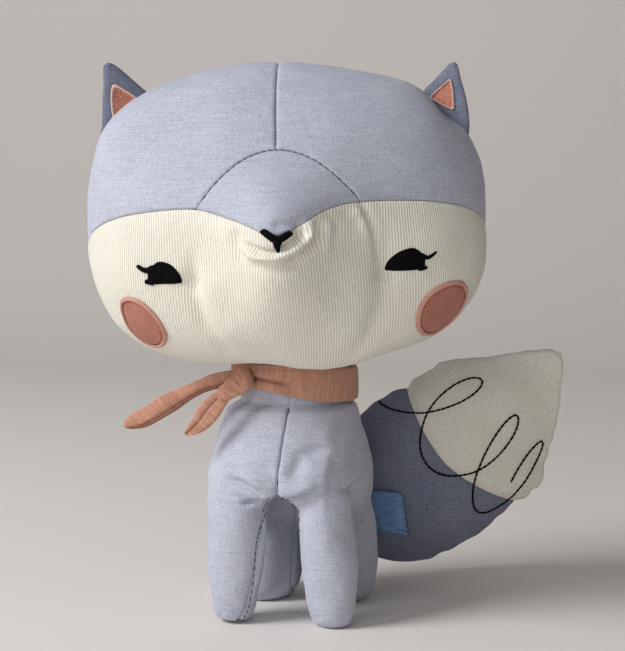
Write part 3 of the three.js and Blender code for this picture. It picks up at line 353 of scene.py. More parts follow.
def blownUp(mesh, seams):
    # Blows up a closed, coarse and slightly smaller copy of a stuffed form as cloth that is held at its seams, and
    # gives the move of any place near it
    mesh.normal_update()
    start = [vert.co.copy() for vert in mesh.verts]
    held = KDTree(len(seams))
    for k, place in enumerate(seams):
        held.insert(place, k)
    held.balance()
    pinned = [k for k, place in enumerate(start) if held.find(place)[2] < stuffed["held"]]
    free = set(range(len(start))) - set(pinned)
    for vert in mesh.verts:
        inward = stuffed["smaller"] if vert.index in free else 0
        vert.co = (vert.co - vert.normal * inward) * 0.001
    beside = [[edge.other_vert(vert).index for edge in vert.link_edges] for vert in mesh.verts]
    data = bpy.data.meshes.new("blown")
    mesh.to_mesh(data)
    mesh.free()
    form = bpy.data.objects.new("blown", data)
    bpy.context.collection.objects.link(form)
    form.vertex_groups.new(name="seams").add(pinned, 1, "REPLACE")
    cloth = form.modifiers.new("cloth", "CLOTH")
    cloth.settings.use_pressure = True
    cloth.settings.uniform_pressure_force = stuffed["pressure"]
    cloth.settings.shrink_min = stuffed["looser"]
    cloth.settings.vertex_group_mass = "seams"
    cloth.settings.effector_weights.gravity = 0
    cloth.point_cache.frame_start, cloth.point_cache.frame_end = 1, stuffed["frames"]
    for number in range(1, stuffed["frames"] + 1):
        bpy.context.scene.frame_set(number)
    after = form.evaluated_get(bpy.context.evaluated_depsgraph_get()).data
    moves = []
    near = KDTree(len(start))
    for k, place in enumerate(start):
        move = after.vertices[k].co * 1000 - place
        moves.append(move * min(1, stuffed["most"] / max(move.length, 0.001)))
        near.insert(place, k)
    near.balance()
    for _ in range(stuffed["evened"]):
        # The coarse cells' own crumples are evened out, and the soft hollows and swells stay
        for k in free:
            moves[k] = moves[k].lerp(sum((moves[n] for n in beside[k]), Vector()) / len(beside[k]), 0.6)
    bpy.data.objects.remove(form)
    bpy.data.meshes.remove(data)
    bpy.context.scene.frame_set(1)

    def moved(place):
        nearest = near.find_n(place, 9)
        found = [(moves[k], math.exp((nearest[0][2] ** 2 - gap**2) / 9)) for co, k, gap in nearest]
        return sum((move * weight for move, weight in found), Vector()) / sum(weight for move, weight in found)

    average = sum(move.length for move in moves) / len(moves)
    print(f"  blown up as cloth: {len(moves)} points moved by {average:.2f} mm on average")
    return moved


def addPiece(name, mesh, finish, body, slot, standsFor=(), wall=0):
    move = swell.get(body)
    for vert in mesh.verts:
        vert.co = toFrame(vert.co + move(vert.co) if move else vert.co)
    data = bpy.data.meshes.new(name)
    mesh.to_mesh(data)
    mesh.free()
    data.shade_smooth()
    data.materials.append(finish)
    piece = bpy.data.objects.new(name, data)
    bpy.context.collection.objects.link(piece)
    if wall:
        solid = piece.modifiers.new("wall", "SOLIDIFY")
        solid.thickness = wall * 0.001
        solid.offset = -1
    if body:
        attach(piece, body)
    if standsFor:
        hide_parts(*standsFor)
    return piece


def addThread(name, runs, radius, stitch, body):
    # Black thread along each run of places, pinched where it goes down into the cloth
    line = bpy.data.curves.new(name, "CURVE")
    line.dimensions = "3D"
    line.bevel_depth = 1
    line.bevel_resolution = 2
    line.use_fill_caps = True
    for places in runs:
        spline = line.splines.new("POLY")
        spline.points.add(len(places) - 1)
        length = 0
        for k, place in enumerate(places):
            length += (place - places[k - 1]).length if k else 0
            spline.points[k].co = (*place, 1)
            spline.points[k].radius = radius * (0.5 + 0.5 * abs(math.sin(math.pi * length / stitch)) ** 0.6)
    holder = bpy.data.objects.new(name, line)
    bpy.context.collection.objects.link(holder)
    tube = bpy.data.meshes.new_from_object(holder.evaluated_get(bpy.context.evaluated_depsgraph_get()))
    mesh = bmesh.new()
    mesh.from_mesh(tube)
    bpy.data.objects.remove(holder)
    bpy.data.curves.remove(line)
    bpy.data.meshes.remove(tube)
    clothMap = mesh.loops.layers.uv.new("cloth")
    for face in mesh.faces:
        for loop in face.loops:
            loop[clothMap].uv = (loop.vert.co.x + loop.vert.co.z, loop.vert.co.y)
    bmesh.ops.recalc_face_normals(mesh, faces=mesh.faces[:])
    return addPiece(name, mesh, blackSatin, body, "black_thread")


def closedSkin(mesh):
    # Closes the open ends of a tube or bag
    bmesh.ops.holes_fill(mesh, edges=[edge for edge in mesh.edges if edge.is_boundary], sides=0)
    bmesh.ops.recalc_face_normals(mesh, faces=mesh.faces[:])


# The head's surface, by degrees to the side of the face's middle and above it
head = {
    "halfWidth": 87.9, "frontDepth": 53, "backDepth": 48, "crownHeight": 64.8, "chinDrop": 66.7,
    "muzzleReach": 21.5, "muzzleSide": 16, "muzzleTop": 19, "muzzleFoot": 34, "muzzleDrop": 2,
    "crownRoundness": 2, "cheekRoundness": 2.78, "earFlare": 0.298, "crownLean": 0.048,
    "centre": Vector((0.6, -9, 66)),
    "pivot": Vector((0, 0, 116)),
    "turn": (7, -2.8, 4), "sideSeam": 96, "gussetHalf": 22.4, "gussetTop": 27.3,
    "bumps": [  # side, up, half width, half height, how far it stands out
        (-3, 86, 36, 24, 1.7), (50, 72, 13, 13, 1.2), (-90, -14, 24, 16, 1.8), (64, 58, 11, 14, -3.6),
    ],
    "chin": {"side": 26, "front": -46, "width": 28, "depth": 15, "drop": 6.2},
    "dish": {"height": 119.6, "from": 38.5, "to": 43.8}, "neckHole": (25.4, 125),
}
turns = [math.radians(a) for a in head["turn"]]
headTurn = Matrix.Rotation(turns[0], 3, "Z") @ Matrix.Rotation(turns[1], 3, "Y") @ Matrix.Rotation(turns[2], 3, "X")
headMiddle = head["pivot"] + headTurn @ head["centre"]


def headSurface(direction):
    side, front, up = direction.x, -direction.y, direction.z
    power = between(head["crownRoundness"], head["cheekRoundness"], eased(-0.4, 0.4, -up))
    reach = (abs(side) ** power + abs(front) ** power + abs(up) ** power) ** (-1 / power)
    crown = max(0, up * reach)
    x = head["halfWidth"] * side * reach * (1 + head["earFlare"] * crown**2)
    z = (head["crownHeight"] if up > 0 else head["chinDrop"]) * up * reach - head["crownLean"] * x * crown
    y = -(head["frontDepth"] if front > 0 else head["backDepth"]) * front * reach
    if front > 0:
        angle = math.degrees(math.acos(min(1, front)))
        spread = angle / max(math.hypot(side, up), 1e-9)
        right, high = side * spread, up * spread + head["muzzleDrop"]
        tall = head["muzzleTop"] if high > 0 else head["muzzleFoot"]
        y -= head["muzzleReach"] * math.exp(-((right / head["muzzleSide"]) ** 2) - (high / tall) ** 2)
    return Vector((x, y, z)) + head["centre"]


def headDirection(side, up):
    angle = math.hypot(side, up)
    share = math.sin(math.radians(angle)) / angle if angle > 0 else 0
    return Vector((side * share, -math.cos(math.radians(angle)), up * share))


def headNormal(direction):
    across = Vector((0, 0, 1)).cross(direction)
    across = across.normalized() if across.length > 0.01 else Vector((1, 0, 0))
    along = direction.cross(across)
    slopes = []
    for way in (across, along):
        ahead = headSurface((direction + way * 0.012).normalized())
        slopes.append(ahead - headSurface((direction - way * 0.012).normalized()))
    normal = slopes[0].cross(slopes[1]).normalized()
    return -normal if normal.dot(direction) < 0 else normal


def headPlace(side, up, lift):
    direction = headDirection(side, up)
    for bumpSide, bumpUp, width, height, out in head["bumps"]:
        lift += out * math.exp(-(((side - bumpSide) / width) ** 2) - ((up - bumpUp) / height) ** 2)
    place = headTurn @ (headSurface(direction) + headNormal(direction) * lift) + head["pivot"]
    chin = head["chin"]
    aside, ahead = (place.x - chin["side"]) / chin["width"], (place.y - chin["front"]) / chin["depth"]
    near = math.exp(-(aside**2) - ahead**2)
    place.z -= chin["drop"] * near * eased(150, 120, place.z)
    # Round the neck the cloth is drawn up into a shallow dish, clear of the scarf when the head nods
    dish = head["dish"]
    if place.z < dish["height"]:
        place.z = between(dish["height"], place.z, eased(dish["from"], dish["to"], math.hypot(place.x, place.y)))
    return place


def faceSeam(side):
    middle = 10.1 * math.exp(-((side / 10.5) ** 2)) + 1.9 * math.exp(-(((side + 14) / 6.5) ** 2))
    return 6.3 - middle - 37 * (abs(side) / head["sideSeam"]) ** 3.9


def gussetSeam(side):
    foot = faceSeam(head["gussetHalf"])
    return foot + (head["gussetTop"] - foot) * (1 - (side / head["gussetHalf"]) ** 2)


seamEnd = head["gussetHalf"]
while math.hypot(seamEnd, faceSeam(seamEnd)) < head["sideSeam"]:
    seamEnd += 0.01
temple = math.degrees(math.atan2(-faceSeam(seamEnd), seamEnd))
clothPerDegree = 1.42  # millimetres of cloth for one degree of the head


def sidePoint(angle, distance=None):
    distance = distance or head["sideSeam"]
    return distance * math.cos(math.radians(angle)), distance * math.sin(math.radians(angle))


# Folds and dents of the face, by the same degrees: the drawn-in lip under the nose with its dark groove, the
# valley and the ridge at its right, the pulled-in corners of the eyes with the creases that run from them
lipEdge = [
    (-11, -6.4), (-8.4, -8.4), (-5.6, -10), (-0.8, -10.4), (3.3, -8.9), (7.2, -6), (8.3, -3.6), (8, -0.6), (7, 2),
]
lipGroove = [
    (-9.4, -5), (-7.2, -6.8), (-4.6, -8.6), (-0.8, -9.1), (3, -7.3), (6.1, -4.9), (6.5, -3), (6.1, -0.8), (5.6, 1),
]
faceFolds = [
    (lipEdge, 1.45, 2.7),
    (lipGroove, 0.95, -4.2),
    ([(-10, -12), (-0.4, -14.4), (7.6, -11)], 2.1, -1.5),
    ([(11.4, 3), (11, -3), (10, -7), (7.6, -9.8), (3.6, -13.2), (-1, -16)], 1.5, -3.2),
    ([(9.4, 1.2), (9, -2.7), (7.9, -6.7)], 0.8, 0.8),
    ([(13.2, 2), (13.8, -4.5), (12.2, -12)], 1.2, 0.8),
    ([(15.4, 3), (15.9, -4), (14, -12)], 1.3, -0.6),
    ([(-11, 0), (-11.2, -6.5), (-8.6, -14)], 1.5, -1.4),
    ([(0.8, 0.2), (3.2, 0.1), (5.8, 0.5)], 1.5, -1.3, "whole"),
    ([(-23, -4), (-23.8, -14), (-23.6, -23), (-21.6, -33), (-16, -46), (-8, -56)], 2.2, -1.9),
    ([(-19, -12), (-18.2, -28), (-13, -44)], 4.4, 1.3),
    ([(-25.6, -19.2), (-24.4, -20.2)], 2.6, -1.8, "whole"),
    ([(28.4, 0), (27.6, -10), (26.9, -20), (25.6, -29), (21.4, -39), (12, -53)], 2.5, -2.3),
    ([(20.6, -10), (19.8, -28), (15, -43)], 4.4, 1.5),
    ([(26.9, -18.4), (26.5, -19)], 2.6, -1.8, "whole"),
    ([(21.2, 9), (24.2, -0.4), (25.3, -5.1), (25.9, -11), (25.2, -18)], 1.0, -2.0),
    ([(20.4, 5), (22.6, -1), (23.6, -9)], 1.5, 1.1),
    ([(-0.5, -26), (0.5, -36)], 15, 2.2, "whole"),
]


def headRelief(side, up):
    lumps = 0.7 * noise.noise(Vector((side * 0.035, up * 0.035, 3.1)))
    lumps += 0.25 * noise.noise(Vector((side * 0.11, up * 0.11, 7.7)))
    if abs(side) < 60 and -60 < up < 30:
        lumps += foldsAt((side, up), faceFolds)
    return lumps * eased(180, 140, math.hypot(side, up))


def seamRelief(gap, place):
    # Beside a seam the cloth dips, puckers a little between the stitches, and turns in at the edge
    pucker = noise.noise(Vector(place) * 0.28)
    return (
        rolled(gap, 1.7, 1.3)
        - 0.35 * math.exp(-((gap / 4.5) ** 2))
        + 0.3 * pucker * math.exp(-((gap / 3.2) ** 2))
    )


def headPanel(name, columns, rows, anglesAt, seamGap, node, finish=blueCotton, slot="blue_cotton"):
    mesh = bmesh.new()

    def placeAt(u, w):
        side, up = anglesAt(u, w)
        direction = headDirection(side, up)
        gap = seamGap(u, w, side, up, direction)
        return headPlace(side, up, headRelief(side, up) + seamRelief(gap, direction * 85))

    def clothAt(u, w):
        # The ribs lie a little closer together towards the chin
        side, up = anglesAt(u, w)
        return side * clothPerDegree * (1 + 0.0016 * (6 - up)), up * clothPerDegree

    joinEnds(mesh, grid(mesh, count(columns), count(rows), placeAt, clothAt))
    reach, height = head["neckHole"]
    hole = [f for f in mesh.faces if all(math.hypot(v.co.x, v.co.y) < reach and v.co.z < height for v in f.verts)]
    bmesh.ops.delete(mesh, geom=hole, context="FACES")
    faceOut(mesh, headMiddle)
    addPiece(name, mesh, finish, "head", slot, [node], wall=0.9)


def browStart(t):
    # Along the lower seam of a crown panel, from the temple (0) to the middle of the forehead (1)
    corner = 2 / 3
    if t < corner:
        side = between(seamEnd, head["gussetHalf"], t / corner)
        return side, faceSeam(side)
    side = between(head["gussetHalf"], 0, (t - corner) / (1 - corner))
    return side, gussetSeam(side)


def crownEnds(u):
    # Where the line of cloth that starts at u along the lower seam of a crown panel starts and ends
    corner = 2 / 3
    t = u if u < corner else corner + (1 - corner) * math.sin(math.pi / 2 * (u - corner) / (1 - corner))
    return browStart(t), sidePoint(between(-temple, 90, t))


def crownAngles(side):
    def anglesAt(u, w):
        start, end = crownEnds(u)
        return side * between(start[0], end[0], bunched(w)), between(start[1], end[1], bunched(w))

    return anglesAt


def crownGap(u, w, side, up, direction):
    return min(faceGap(u, w, side, up, direction, crownEnds), abs(direction.x) * head["halfWidth"])


def faceEnds(t):
    third = 1 / 3
    if t < third:
        side = between(-seamEnd, -head["gussetHalf"], t / third)
    elif t < 2 * third:
        side = between(-head["gussetHalf"], head["gussetHalf"], (t - third) / third)
    else:
        side = between(head["gussetHalf"], seamEnd, (t - 2 * third) / third)
    return sidePoint(between(180 + temple, 360 - temple, t)), (side, faceSeam(side))


def faceAngles(u, w):
    start, end = faceEnds(u)
    return between(start[0], end[0], bunched(w)), between(start[1], end[1], bunched(w))


def faceGap(u, w, side, up, direction, ends=faceEnds):
    length = math.dist(*ends(u)) * clothPerDegree
    return min(bunched(w) * length, (1 - bunched(w)) * length)


def gussetAngles(u, w):
    side = between(-head["gussetHalf"], head["gussetHalf"], u)
    return side, between(faceSeam(side), gussetSeam(side), bunched(w))


def gussetGap(u, w, side, up, direction):
    return min(up - faceSeam(side), gussetSeam(side) - up) * clothPerDegree


def backAngles(side):
    def anglesAt(u, w):
        away = between(head["sideSeam"], 180, bunched(w))
        x, z = sidePoint(between(-90, 90, bunched(u)), away)
        return side * x, z

    return anglesAt


def backGap(u, w, side, up, direction):
    return min((math.hypot(side, up) - head["sideSeam"]) * clothPerDegree, abs(direction.x) * head["halfWidth"])


form = bmesh.new()
bmesh.ops.create_icosphere(form, subdivisions=5, radius=1)
for vert in form.verts:
    angle = math.degrees(math.acos(max(-1, min(1, -vert.co.y))))
    share = angle / max(math.hypot(vert.co.x, vert.co.z), 1e-6)
    vert.co = headPlace(vert.co.x * share, vert.co.z * share, 0)
seams = [headPlace(*sidePoint(2 * k), 0) for k in range(180)]
seams += [headPlace(side, faceSeam(side), 0) for side in range(-85, 86)]
seams += [headPlace(side, gussetSeam(side), 0) for side in range(-22, 23)]
seams += [headPlace(0, up, 0) for up in range(28, 180)] + [headPlace(0, -up, 0) for up in range(96, 180)]
seams += [vert.co.copy() for vert in form.verts if math.hypot(vert.co.x, vert.co.y) < 45 and vert.co.z < 128]
swell["head"] = blownUp(form, seams)
print("the head's cloth is blown up")

headPanel("crownLeft", 126, 84, crownAngles(-1), crownGap, "crown_panel_left")
headPanel("crownRight", 126, 84, crownAngles(1), crownGap, "crown_panel_right")
headPanel("muzzleGusset", 84, 42, gussetAngles, gussetGap, "muzzle_gusset")
headPanel("facePanel", 300, 120, faceAngles, faceGap, "face_panel", whiteRib, "white_rib_cotton")
headPanel("headBackLeft", 120, 66, backAngles(-1), backGap, "head_back_left")
headPanel("headBackRight", 120, 66, backAngles(1), backGap, "head_back_right")
print("head panels are sewn")


# Embroidery on the face: patches between two edges given in face degrees
def facePatch(mesh, lower, upper, columns, rows, base, bulge, acrossStitches=True):
    def anglesAt(u, w):
        a, b = curveThrough(lower, u), curveThrough(upper, u)
        return between(a[0], b[0], w), between(a[1], b[1], w)

    def placeAt(u, w):
        side, up = anglesAt(bunched(u), bunched(w))
        crown = math.sqrt(max(0, 1 - (2 * bunched(w) - 1) ** 2)) * math.sqrt(max(0, 1 - (2 * bunched(u) - 1) ** 8))
        return headPlace(side, up, headRelief(side, up) + base + bulge * crown)

    def clothAt(u, w):
        side, up = (value * clothPerDegree for value in anglesAt(u, w))
        return (side, up) if acrossStitches else (up, side)

    joinEnds(mesh, grid(mesh, columns, rows, placeAt, clothAt))


def strokeEdges(path, widths):
    # The two edges of a stitched stroke with round ends
    lower, upper = [], []
    for k in range(13):
        t = bunched(k / 12)
        here, ahead, behind = (curveThrough(path, min(1, max(0, t + step))) for step in (0, 0.02, -0.02))
        way = Vector(ahead) - Vector(behind)
        square = Vector((-way.y, way.x)).normalized() * curveThrough([(w,) for w in widths], t)[0]
        square *= max(0.02, 1 - abs(2 * t - 1) ** 7) ** 0.5
        lower.append(tuple(Vector(here) - square))
        upper.append(tuple(Vector(here) + square))
    return lower, upper


eye = {
    "left": {
        "lower": [(-27.3, -19.6), (-29.2, -19.7), (-31.5, -19.6), (-34, -19.7), (-36.3, -19.3)],
        "upper": [(-27.2, -18.6), (-27.9, -15.8), (-30.2, -13), (-33.6, -12.2), (-36.4, -15.2)],
        "lash": {"path": [(-34.4, -14), (-36.4, -15), (-38, -14.7), (-39.6, -13.6)], "widths": (0.9, 0.62, 0.42, 0.3)},
        "nub": {"path": [(-34.6, -18.9), (-36, -18.8), (-36.9, -18.9)], "widths": (0.9, 0.62, 0.4)},
    },
    "right": {
        "lower": [(27.6, -18.9), (29.8, -18.9), (32.4, -18.9), (35, -19), (37.4, -19.2)],
        "upper": [(27.6, -18), (28.7, -15), (31.5, -12.4), (35.4, -11.7), (38.1, -14.8)],
        "lash": {"path": [(36.4, -14), (38.6, -15.3), (40.2, -14.7), (41.8, -13.7)], "widths": (1.1, 0.7, 0.5, 0.34)},
        "nub": {"path": [(35.6, -18.6), (37.2, -18.6), (38.2, -18.5)], "widths": (1.0, 0.7, 0.44)},
    },
}
for label, edges in eye.items():
    mesh = bmesh.new()
    facePatch(mesh, edges["lower"], edges["upper"], 48, 24, 0.2, 0.6)
    for stroke in (edges["lash"], edges["nub"]):
        facePatch(mesh, *strokeEdges(**stroke), 30, 8, 0.2, 0.5, False)
    faceOut(mesh, headMiddle)
    addPiece("eye" + label.title(), mesh, blackSatin, "head", "black_thread", ["eye_" + label], wall=0.5)

# Cheeks: cut discs under a wide satin-stitched border, their outlines in face degrees, from the top round
cheek = {
    "border": 0.86,
    "left": [
        (-43.4, -24.6), (-38.6, -25.6), (-34.4, -30.5), (-32.5, -36.7), (-33.5, -41.6), (-36.9, -45.5),
        (-41, -45.8), (-44.4, -41.5), (-46.6, -34.6), (-46.6, -27.2),
    ],
    "right": [
        (45.6, -24.8), (50.2, -26.6), (52.9, -31), (53.8, -35.8), (51.7, -42.4), (47.6, -46.6), (42.6, -48.2),
        (38.1, -45.8), (35, -40.5), (34.2, -34.9), (35.8, -29.7), (39.8, -25.9),
    ],
}
for label in ("left", "right"):
    outline = cheek[label]
    middle = [sum(point[k] for point in outline) / len(outline) for k in (0, 1)]

    def cheekAngles(turn, ring):
        # The turn runs once round the outline, the ring from 0 in the middle to 1 at the edge
        edge = loopThrough(outline, turn)
        return [between(middle[k], edge[k], ring) for k in (0, 1)]

    def cheekPlace(turn, ring, lift):
        side, up = cheekAngles(turn, ring)
        return headPlace(side, up, headRelief(side, up) + lift)

    def discPlace(u, w):
        ring = between(0.02, cheek["border"] * 1.02, w)
        return cheekPlace(u, ring, 0.75 - 0.75 * eased(0.78, 0.86, ring))

    def discCloth(u, w):
        side, up = cheekAngles(u, w * cheek["border"])
        return up * clothPerDegree, side * clothPerDegree

    def borderPlace(u, w):
        # Two rows of stitching: a low outer one with frayed edges, and a rounder inner one
        ring = between(cheek["border"] * 0.985, 1, w) + 0.006 * noise.noise(Vector((u * 90, w * 2, 1)))
        puff = math.sin(math.pi * between(0.05, 0.95, w)) + 0.35 * math.sin(math.pi * min(1, 2.2 * w))
        return cheekPlace(u, ring, 0.2 + 0.95 * puff)

    mesh = bmesh.new()
    addDisc(mesh, 96, 18, discPlace, discCloth)
    faceOut(mesh, headMiddle)
    addPiece("cheek" + label.title(), mesh, roseCotton, "head", "cheek_cotton", ["cheek_" + label], wall=0.7)
    mesh = bmesh.new()
    joinEnds(mesh, grid(mesh, 180, 10, borderPlace, lambda u, w: (u * 85, w * 2.4)))
    faceOut(mesh, headMiddle)
    addPiece("cheekBorder" + label.title(), mesh, roseSatin, "head", "cheek_cotton", wall=0.5)

# Stitches that show along the gusset and the middle of the crown
runs = []
for route in ([(side, gussetSeam(side)) for side in range(-21, 22)], [(0, up) for up in range(29, 72)]):
    steps = int((len(route) - 1) * clothPerDegree / 2.3)
    for k in range(steps):
        stitch = [curveThrough(route, (k + m) / steps) for m in (0.2, 0.5, 0.8)]
        runs.append([headPlace(*at, headRelief(*at) - 0.75) for at in stitch])
addThread("headStitches", runs, 0.16, 9, "head")

nose = {
    "strokes": [
        {"path": [(-3.6, -1.4), (-1.8, -3.3), (0.1, -5.1)], "widths": (1.0, 1.1, 1.25)},
        {"path": [(4.0, -2.5), (2.3, -3.9), (0.4, -5.2)], "widths": (0.95, 1.1, 1.25)},
        {"path": [(0.4, -3.7), (0.3, -6.6), (0.1, -9.2)], "widths": (1.5, 1.0, 0.72)},
    ],
    "bulge": 1.0,
}
mesh = bmesh.new()
for stroke in nose["strokes"]:
    facePatch(mesh, *strokeEdges(**stroke), 30, 12, 0.3, nose["bulge"], False)
faceOut(mesh, headMiddle)
addPiece("noseStitch", mesh, blackSatin, "head", "black_thread", ["nose_stitch"], wall=0.6)
print("eyes, cheeks and nose are embroidered")

# Ears: small sewn and turned triangles, caught in the seam behind the crown. Each row gives the two edges, right
# and high, from the hidden foot to the tip. The lining's outline runs round from its tip
ear = {
    "left": {
        "middle": (-73, -21), "facing": 24,
        "edges": [
            (-57, 224.5, -84, 211), (-62.5, 233.2, -82.7, 220.4), (-66.3, 236.9, -82.5, 229),
            (-71, 241.3, -82, 238), (-75.4, 245.3, -81.9, 244.8), (-78.3, 247.3, -80.9, 247.0),
            (-79.6, 247.7, -79.7, 247.7),
        ],
        "lining": [
            (-76.4, 237), (-72, 234.6), (-68.2, 231.8), (-66, 228.5), (-65, 223.5), (-70, 219), (-76.4, 219),
            (-77.3, 224), (-77.9, 230), (-77.7, 234.8),
        ],
    },
    "right": {
        "middle": (69, -4), "facing": -12,
        "edges": [
            (52, 226.5, 78, 210), (57.8, 234.4, 79.2, 220), (63.4, 240, 77.7, 231), (68.4, 245.1, 75.3, 239.5),
            (70.2, 246.7, 74.1, 244.6), (71.6, 247.2, 73.1, 246.7), (72.3, 247.4, 72.4, 247.4),
        ],
        "lining": [
            (70.4, 239), (71.3, 236), (71.8, 231.4), (71.8, 227.2), (69.4, 227.6), (65, 230), (62.2, 231.8),
            (62.9, 233.2), (66, 235.8), (68.4, 237.8),
        ],
    },
    "thick": 3.2, "roll": 3.4, "border": 1.15,
}


def earSurface(values, right, high):
    # The middle of the ear's front cloth, from the outline that the two edges make
    outline = [row[:2] for row in values["edges"]] + [row[2:] for row in reversed(values["edges"])]
    gap, share = offPath((right, high), outline)
    puff = ear["thick"] / 2 * math.sqrt(max(0, 1 - (1 - min(1, gap / ear["roll"])) ** 2))
    middle, back = values["middle"]
    plane = back + math.tan(math.radians(values["facing"])) * (right - middle)
    return plane, puff, gap


for label in ("left", "right"):
    values = ear[label]

    def earSkin(u, w):
        turn = 2 * math.pi * u
        row = curveThrough(values["edges"], 1 - (1 - w) ** 1.25)
        across = 0.5 - 0.5 * math.copysign(abs(math.cos(turn)) ** 0.8, math.cos(turn))
        right, high = between(row[0], row[2], across), between(row[1], row[3], across)
        plane, puff, gap = earSurface(values, right, high)
        lump = 0.3 * noise.noise(Vector((right * 0.2, high * 0.2, math.copysign(5, math.sin(turn)))))
        return Vector((right, plane - (puff + lump * min(1, gap / 2)) * math.copysign(1, math.sin(turn)), high))

    middle = [sum(point[k] for point in values["lining"]) / len(values["lining"]) for k in (0, 1)]

    def liningAt(turn, ring, lift):
        right, high = (between(middle[k], value, ring) for k, value in enumerate(loopThrough(values["lining"], turn)))
        plane, puff, gap = earSurface(values, right, high)
        return Vector((right, plane - puff - lift, high))

    def liningSkin(u, w):
        return liningAt(u, between(0.02, 1, w), 0.45)

    def rimSkin(u, w):
        edge = 1 + ear["border"] / 6 * (w - 0.35)
        return liningAt(u, edge, 0.35 + 0.75 * math.sin(math.pi * w))

    mesh, lining, rim = bmesh.new(), bmesh.new(), bmesh.new()
    joinEnds(mesh, grid(mesh, 84, 54, earSkin, lambda u, w: (u * 40, w * 24)))
    closedSkin(mesh)
    addDisc(lining, 96, 24, liningSkin, lambda u, w: (w * 8 * math.cos(6.3 * u), w * 8 * math.sin(6.3 * u)))
    joinEnds(rim, grid(rim, 120, 6, rimSkin, lambda u, w: (u * 38, w * 2)))
    for sheet in (lining, rim):
        faceOut(sheet, (values["middle"][0], 40, 230))
    title, coral = label.title(), "coral_cotton"
    pieces = [
        # The ear's cloth is the darker copy of the blue cotton: painted shade
        addPiece("ear" + title, mesh, shadedBlueCotton, None, "blue_cotton", ["ear_" + label]),
        addPiece("earLining" + title, lining, coralSatin, None, coral, ["ear_lining_" + label], wall=0.4),
        addPiece("earRim" + title, rim, paleCoralSatin, None, coral, wall=0.4),
    ]
    # The line where each ear is sewn in and a line a few millimetres above it are worked out, and each ear's pieces are
    # baked in place
    foot = values["edges"][1]
    seam = Vector(((foot[0] + foot[2]) / 2, values["middle"][1], (foot[1] + foot[3]) / 2))
    along = Vector((foot[0] - foot[2], 0, foot[1] - foot[3])).normalized()
    rise = along.cross(Vector((0, 1, 0)))
    rise = -rise if rise.z < 0 else rise
    for piece in pieces:
        start, end = toFrame(seam), toFrame(seam + rise * 4.5)
        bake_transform(piece)
print("ears are sewn")


# Body: torso and legs as one skin of cloth, cut in two at the seam down the chest and the back
torso = {
    "bottom": 33, "top": 104, "halfWidth": 36.2, "halfDepth": 45.5, "collar": 24.9, "collarFoot": 96.4,
    "collarFlare": 1.6,
    "rows": [  # height, width, depth, centre and roundness, as shares
        (0, 0.02, 0.02, 0.35, 2), (0.017, 0.387, 0.242, 0.35, 2), (0.063, 0.677, 0.45, 0.34, 2.1),
        (0.141, 0.856, 0.66, 0.286, 2.3), (0.232, 0.953, 0.84, 0.185, 2.8), (0.338, 0.994, 0.975, 0.08, 3.1),
        (0.437, 1, 1, 0.045, 3.1), (0.549, 0.956, 0.936, 0.026, 2.8), (0.662, 0.895, 0.835, 0.011, 2.5),
        (0.775, 0.834, 0.725, 0, 2.2), (0.859, 0.785, 0.637, 0, 2.1), (0.92, 0.7, 0.56, 0, 2),
        (1, 0.7, 0.56, 0, 2),
    ],
}
frontLeg = {
    "height": 80, "radius": 12.9, "spread": 22.4, "back": -30, "leanIn": 1.9, "leanBack": 15, "stretch": 1,
    "rows": [  # height, radius, lean in and lean back, as shares
        (0, 0.02, 0, 0), (0.001, 0.6, 0, 0), (0.022, 0.72, 0, 0), (0.07, 0.85, 0.05, 0), (0.165, 0.93, 0.2, 0),
        (0.32, 0.98, 0.5, 0), (0.5, 1, 0.8, 0.02), (0.64, 1, 1, 0.07), (0.75, 0.96, 1, 0.22),
        (0.85, 0.86, 1, 0.5), (0.94, 0.6, 1, 0.8), (1, 0.02, 1, 1),
    ],
}
hindLeg = {
    "height": 60, "radius": 17.0, "spread": 17.7, "back": 20.5, "leanIn": 0, "leanBack": 0, "stretch": 1.15,
    "rows": [
        (0, 0.02, 0, 0), (0.001, 0.58, 0, 0), (0.035, 0.78, 0, 0), (0.12, 0.92, 0, 0), (0.26, 0.985, 0, 0),
        (0.45, 1, 0, 0), (0.65, 0.97, 0, 0), (0.82, 0.82, 0, 0), (0.94, 0.5, 0, 0), (1, 0.02, 0, 0),
    ],
}
chestSeam = {"foot": Vector((-0.2, 0, 62)), "top": Vector((2.2, 0, 98))}
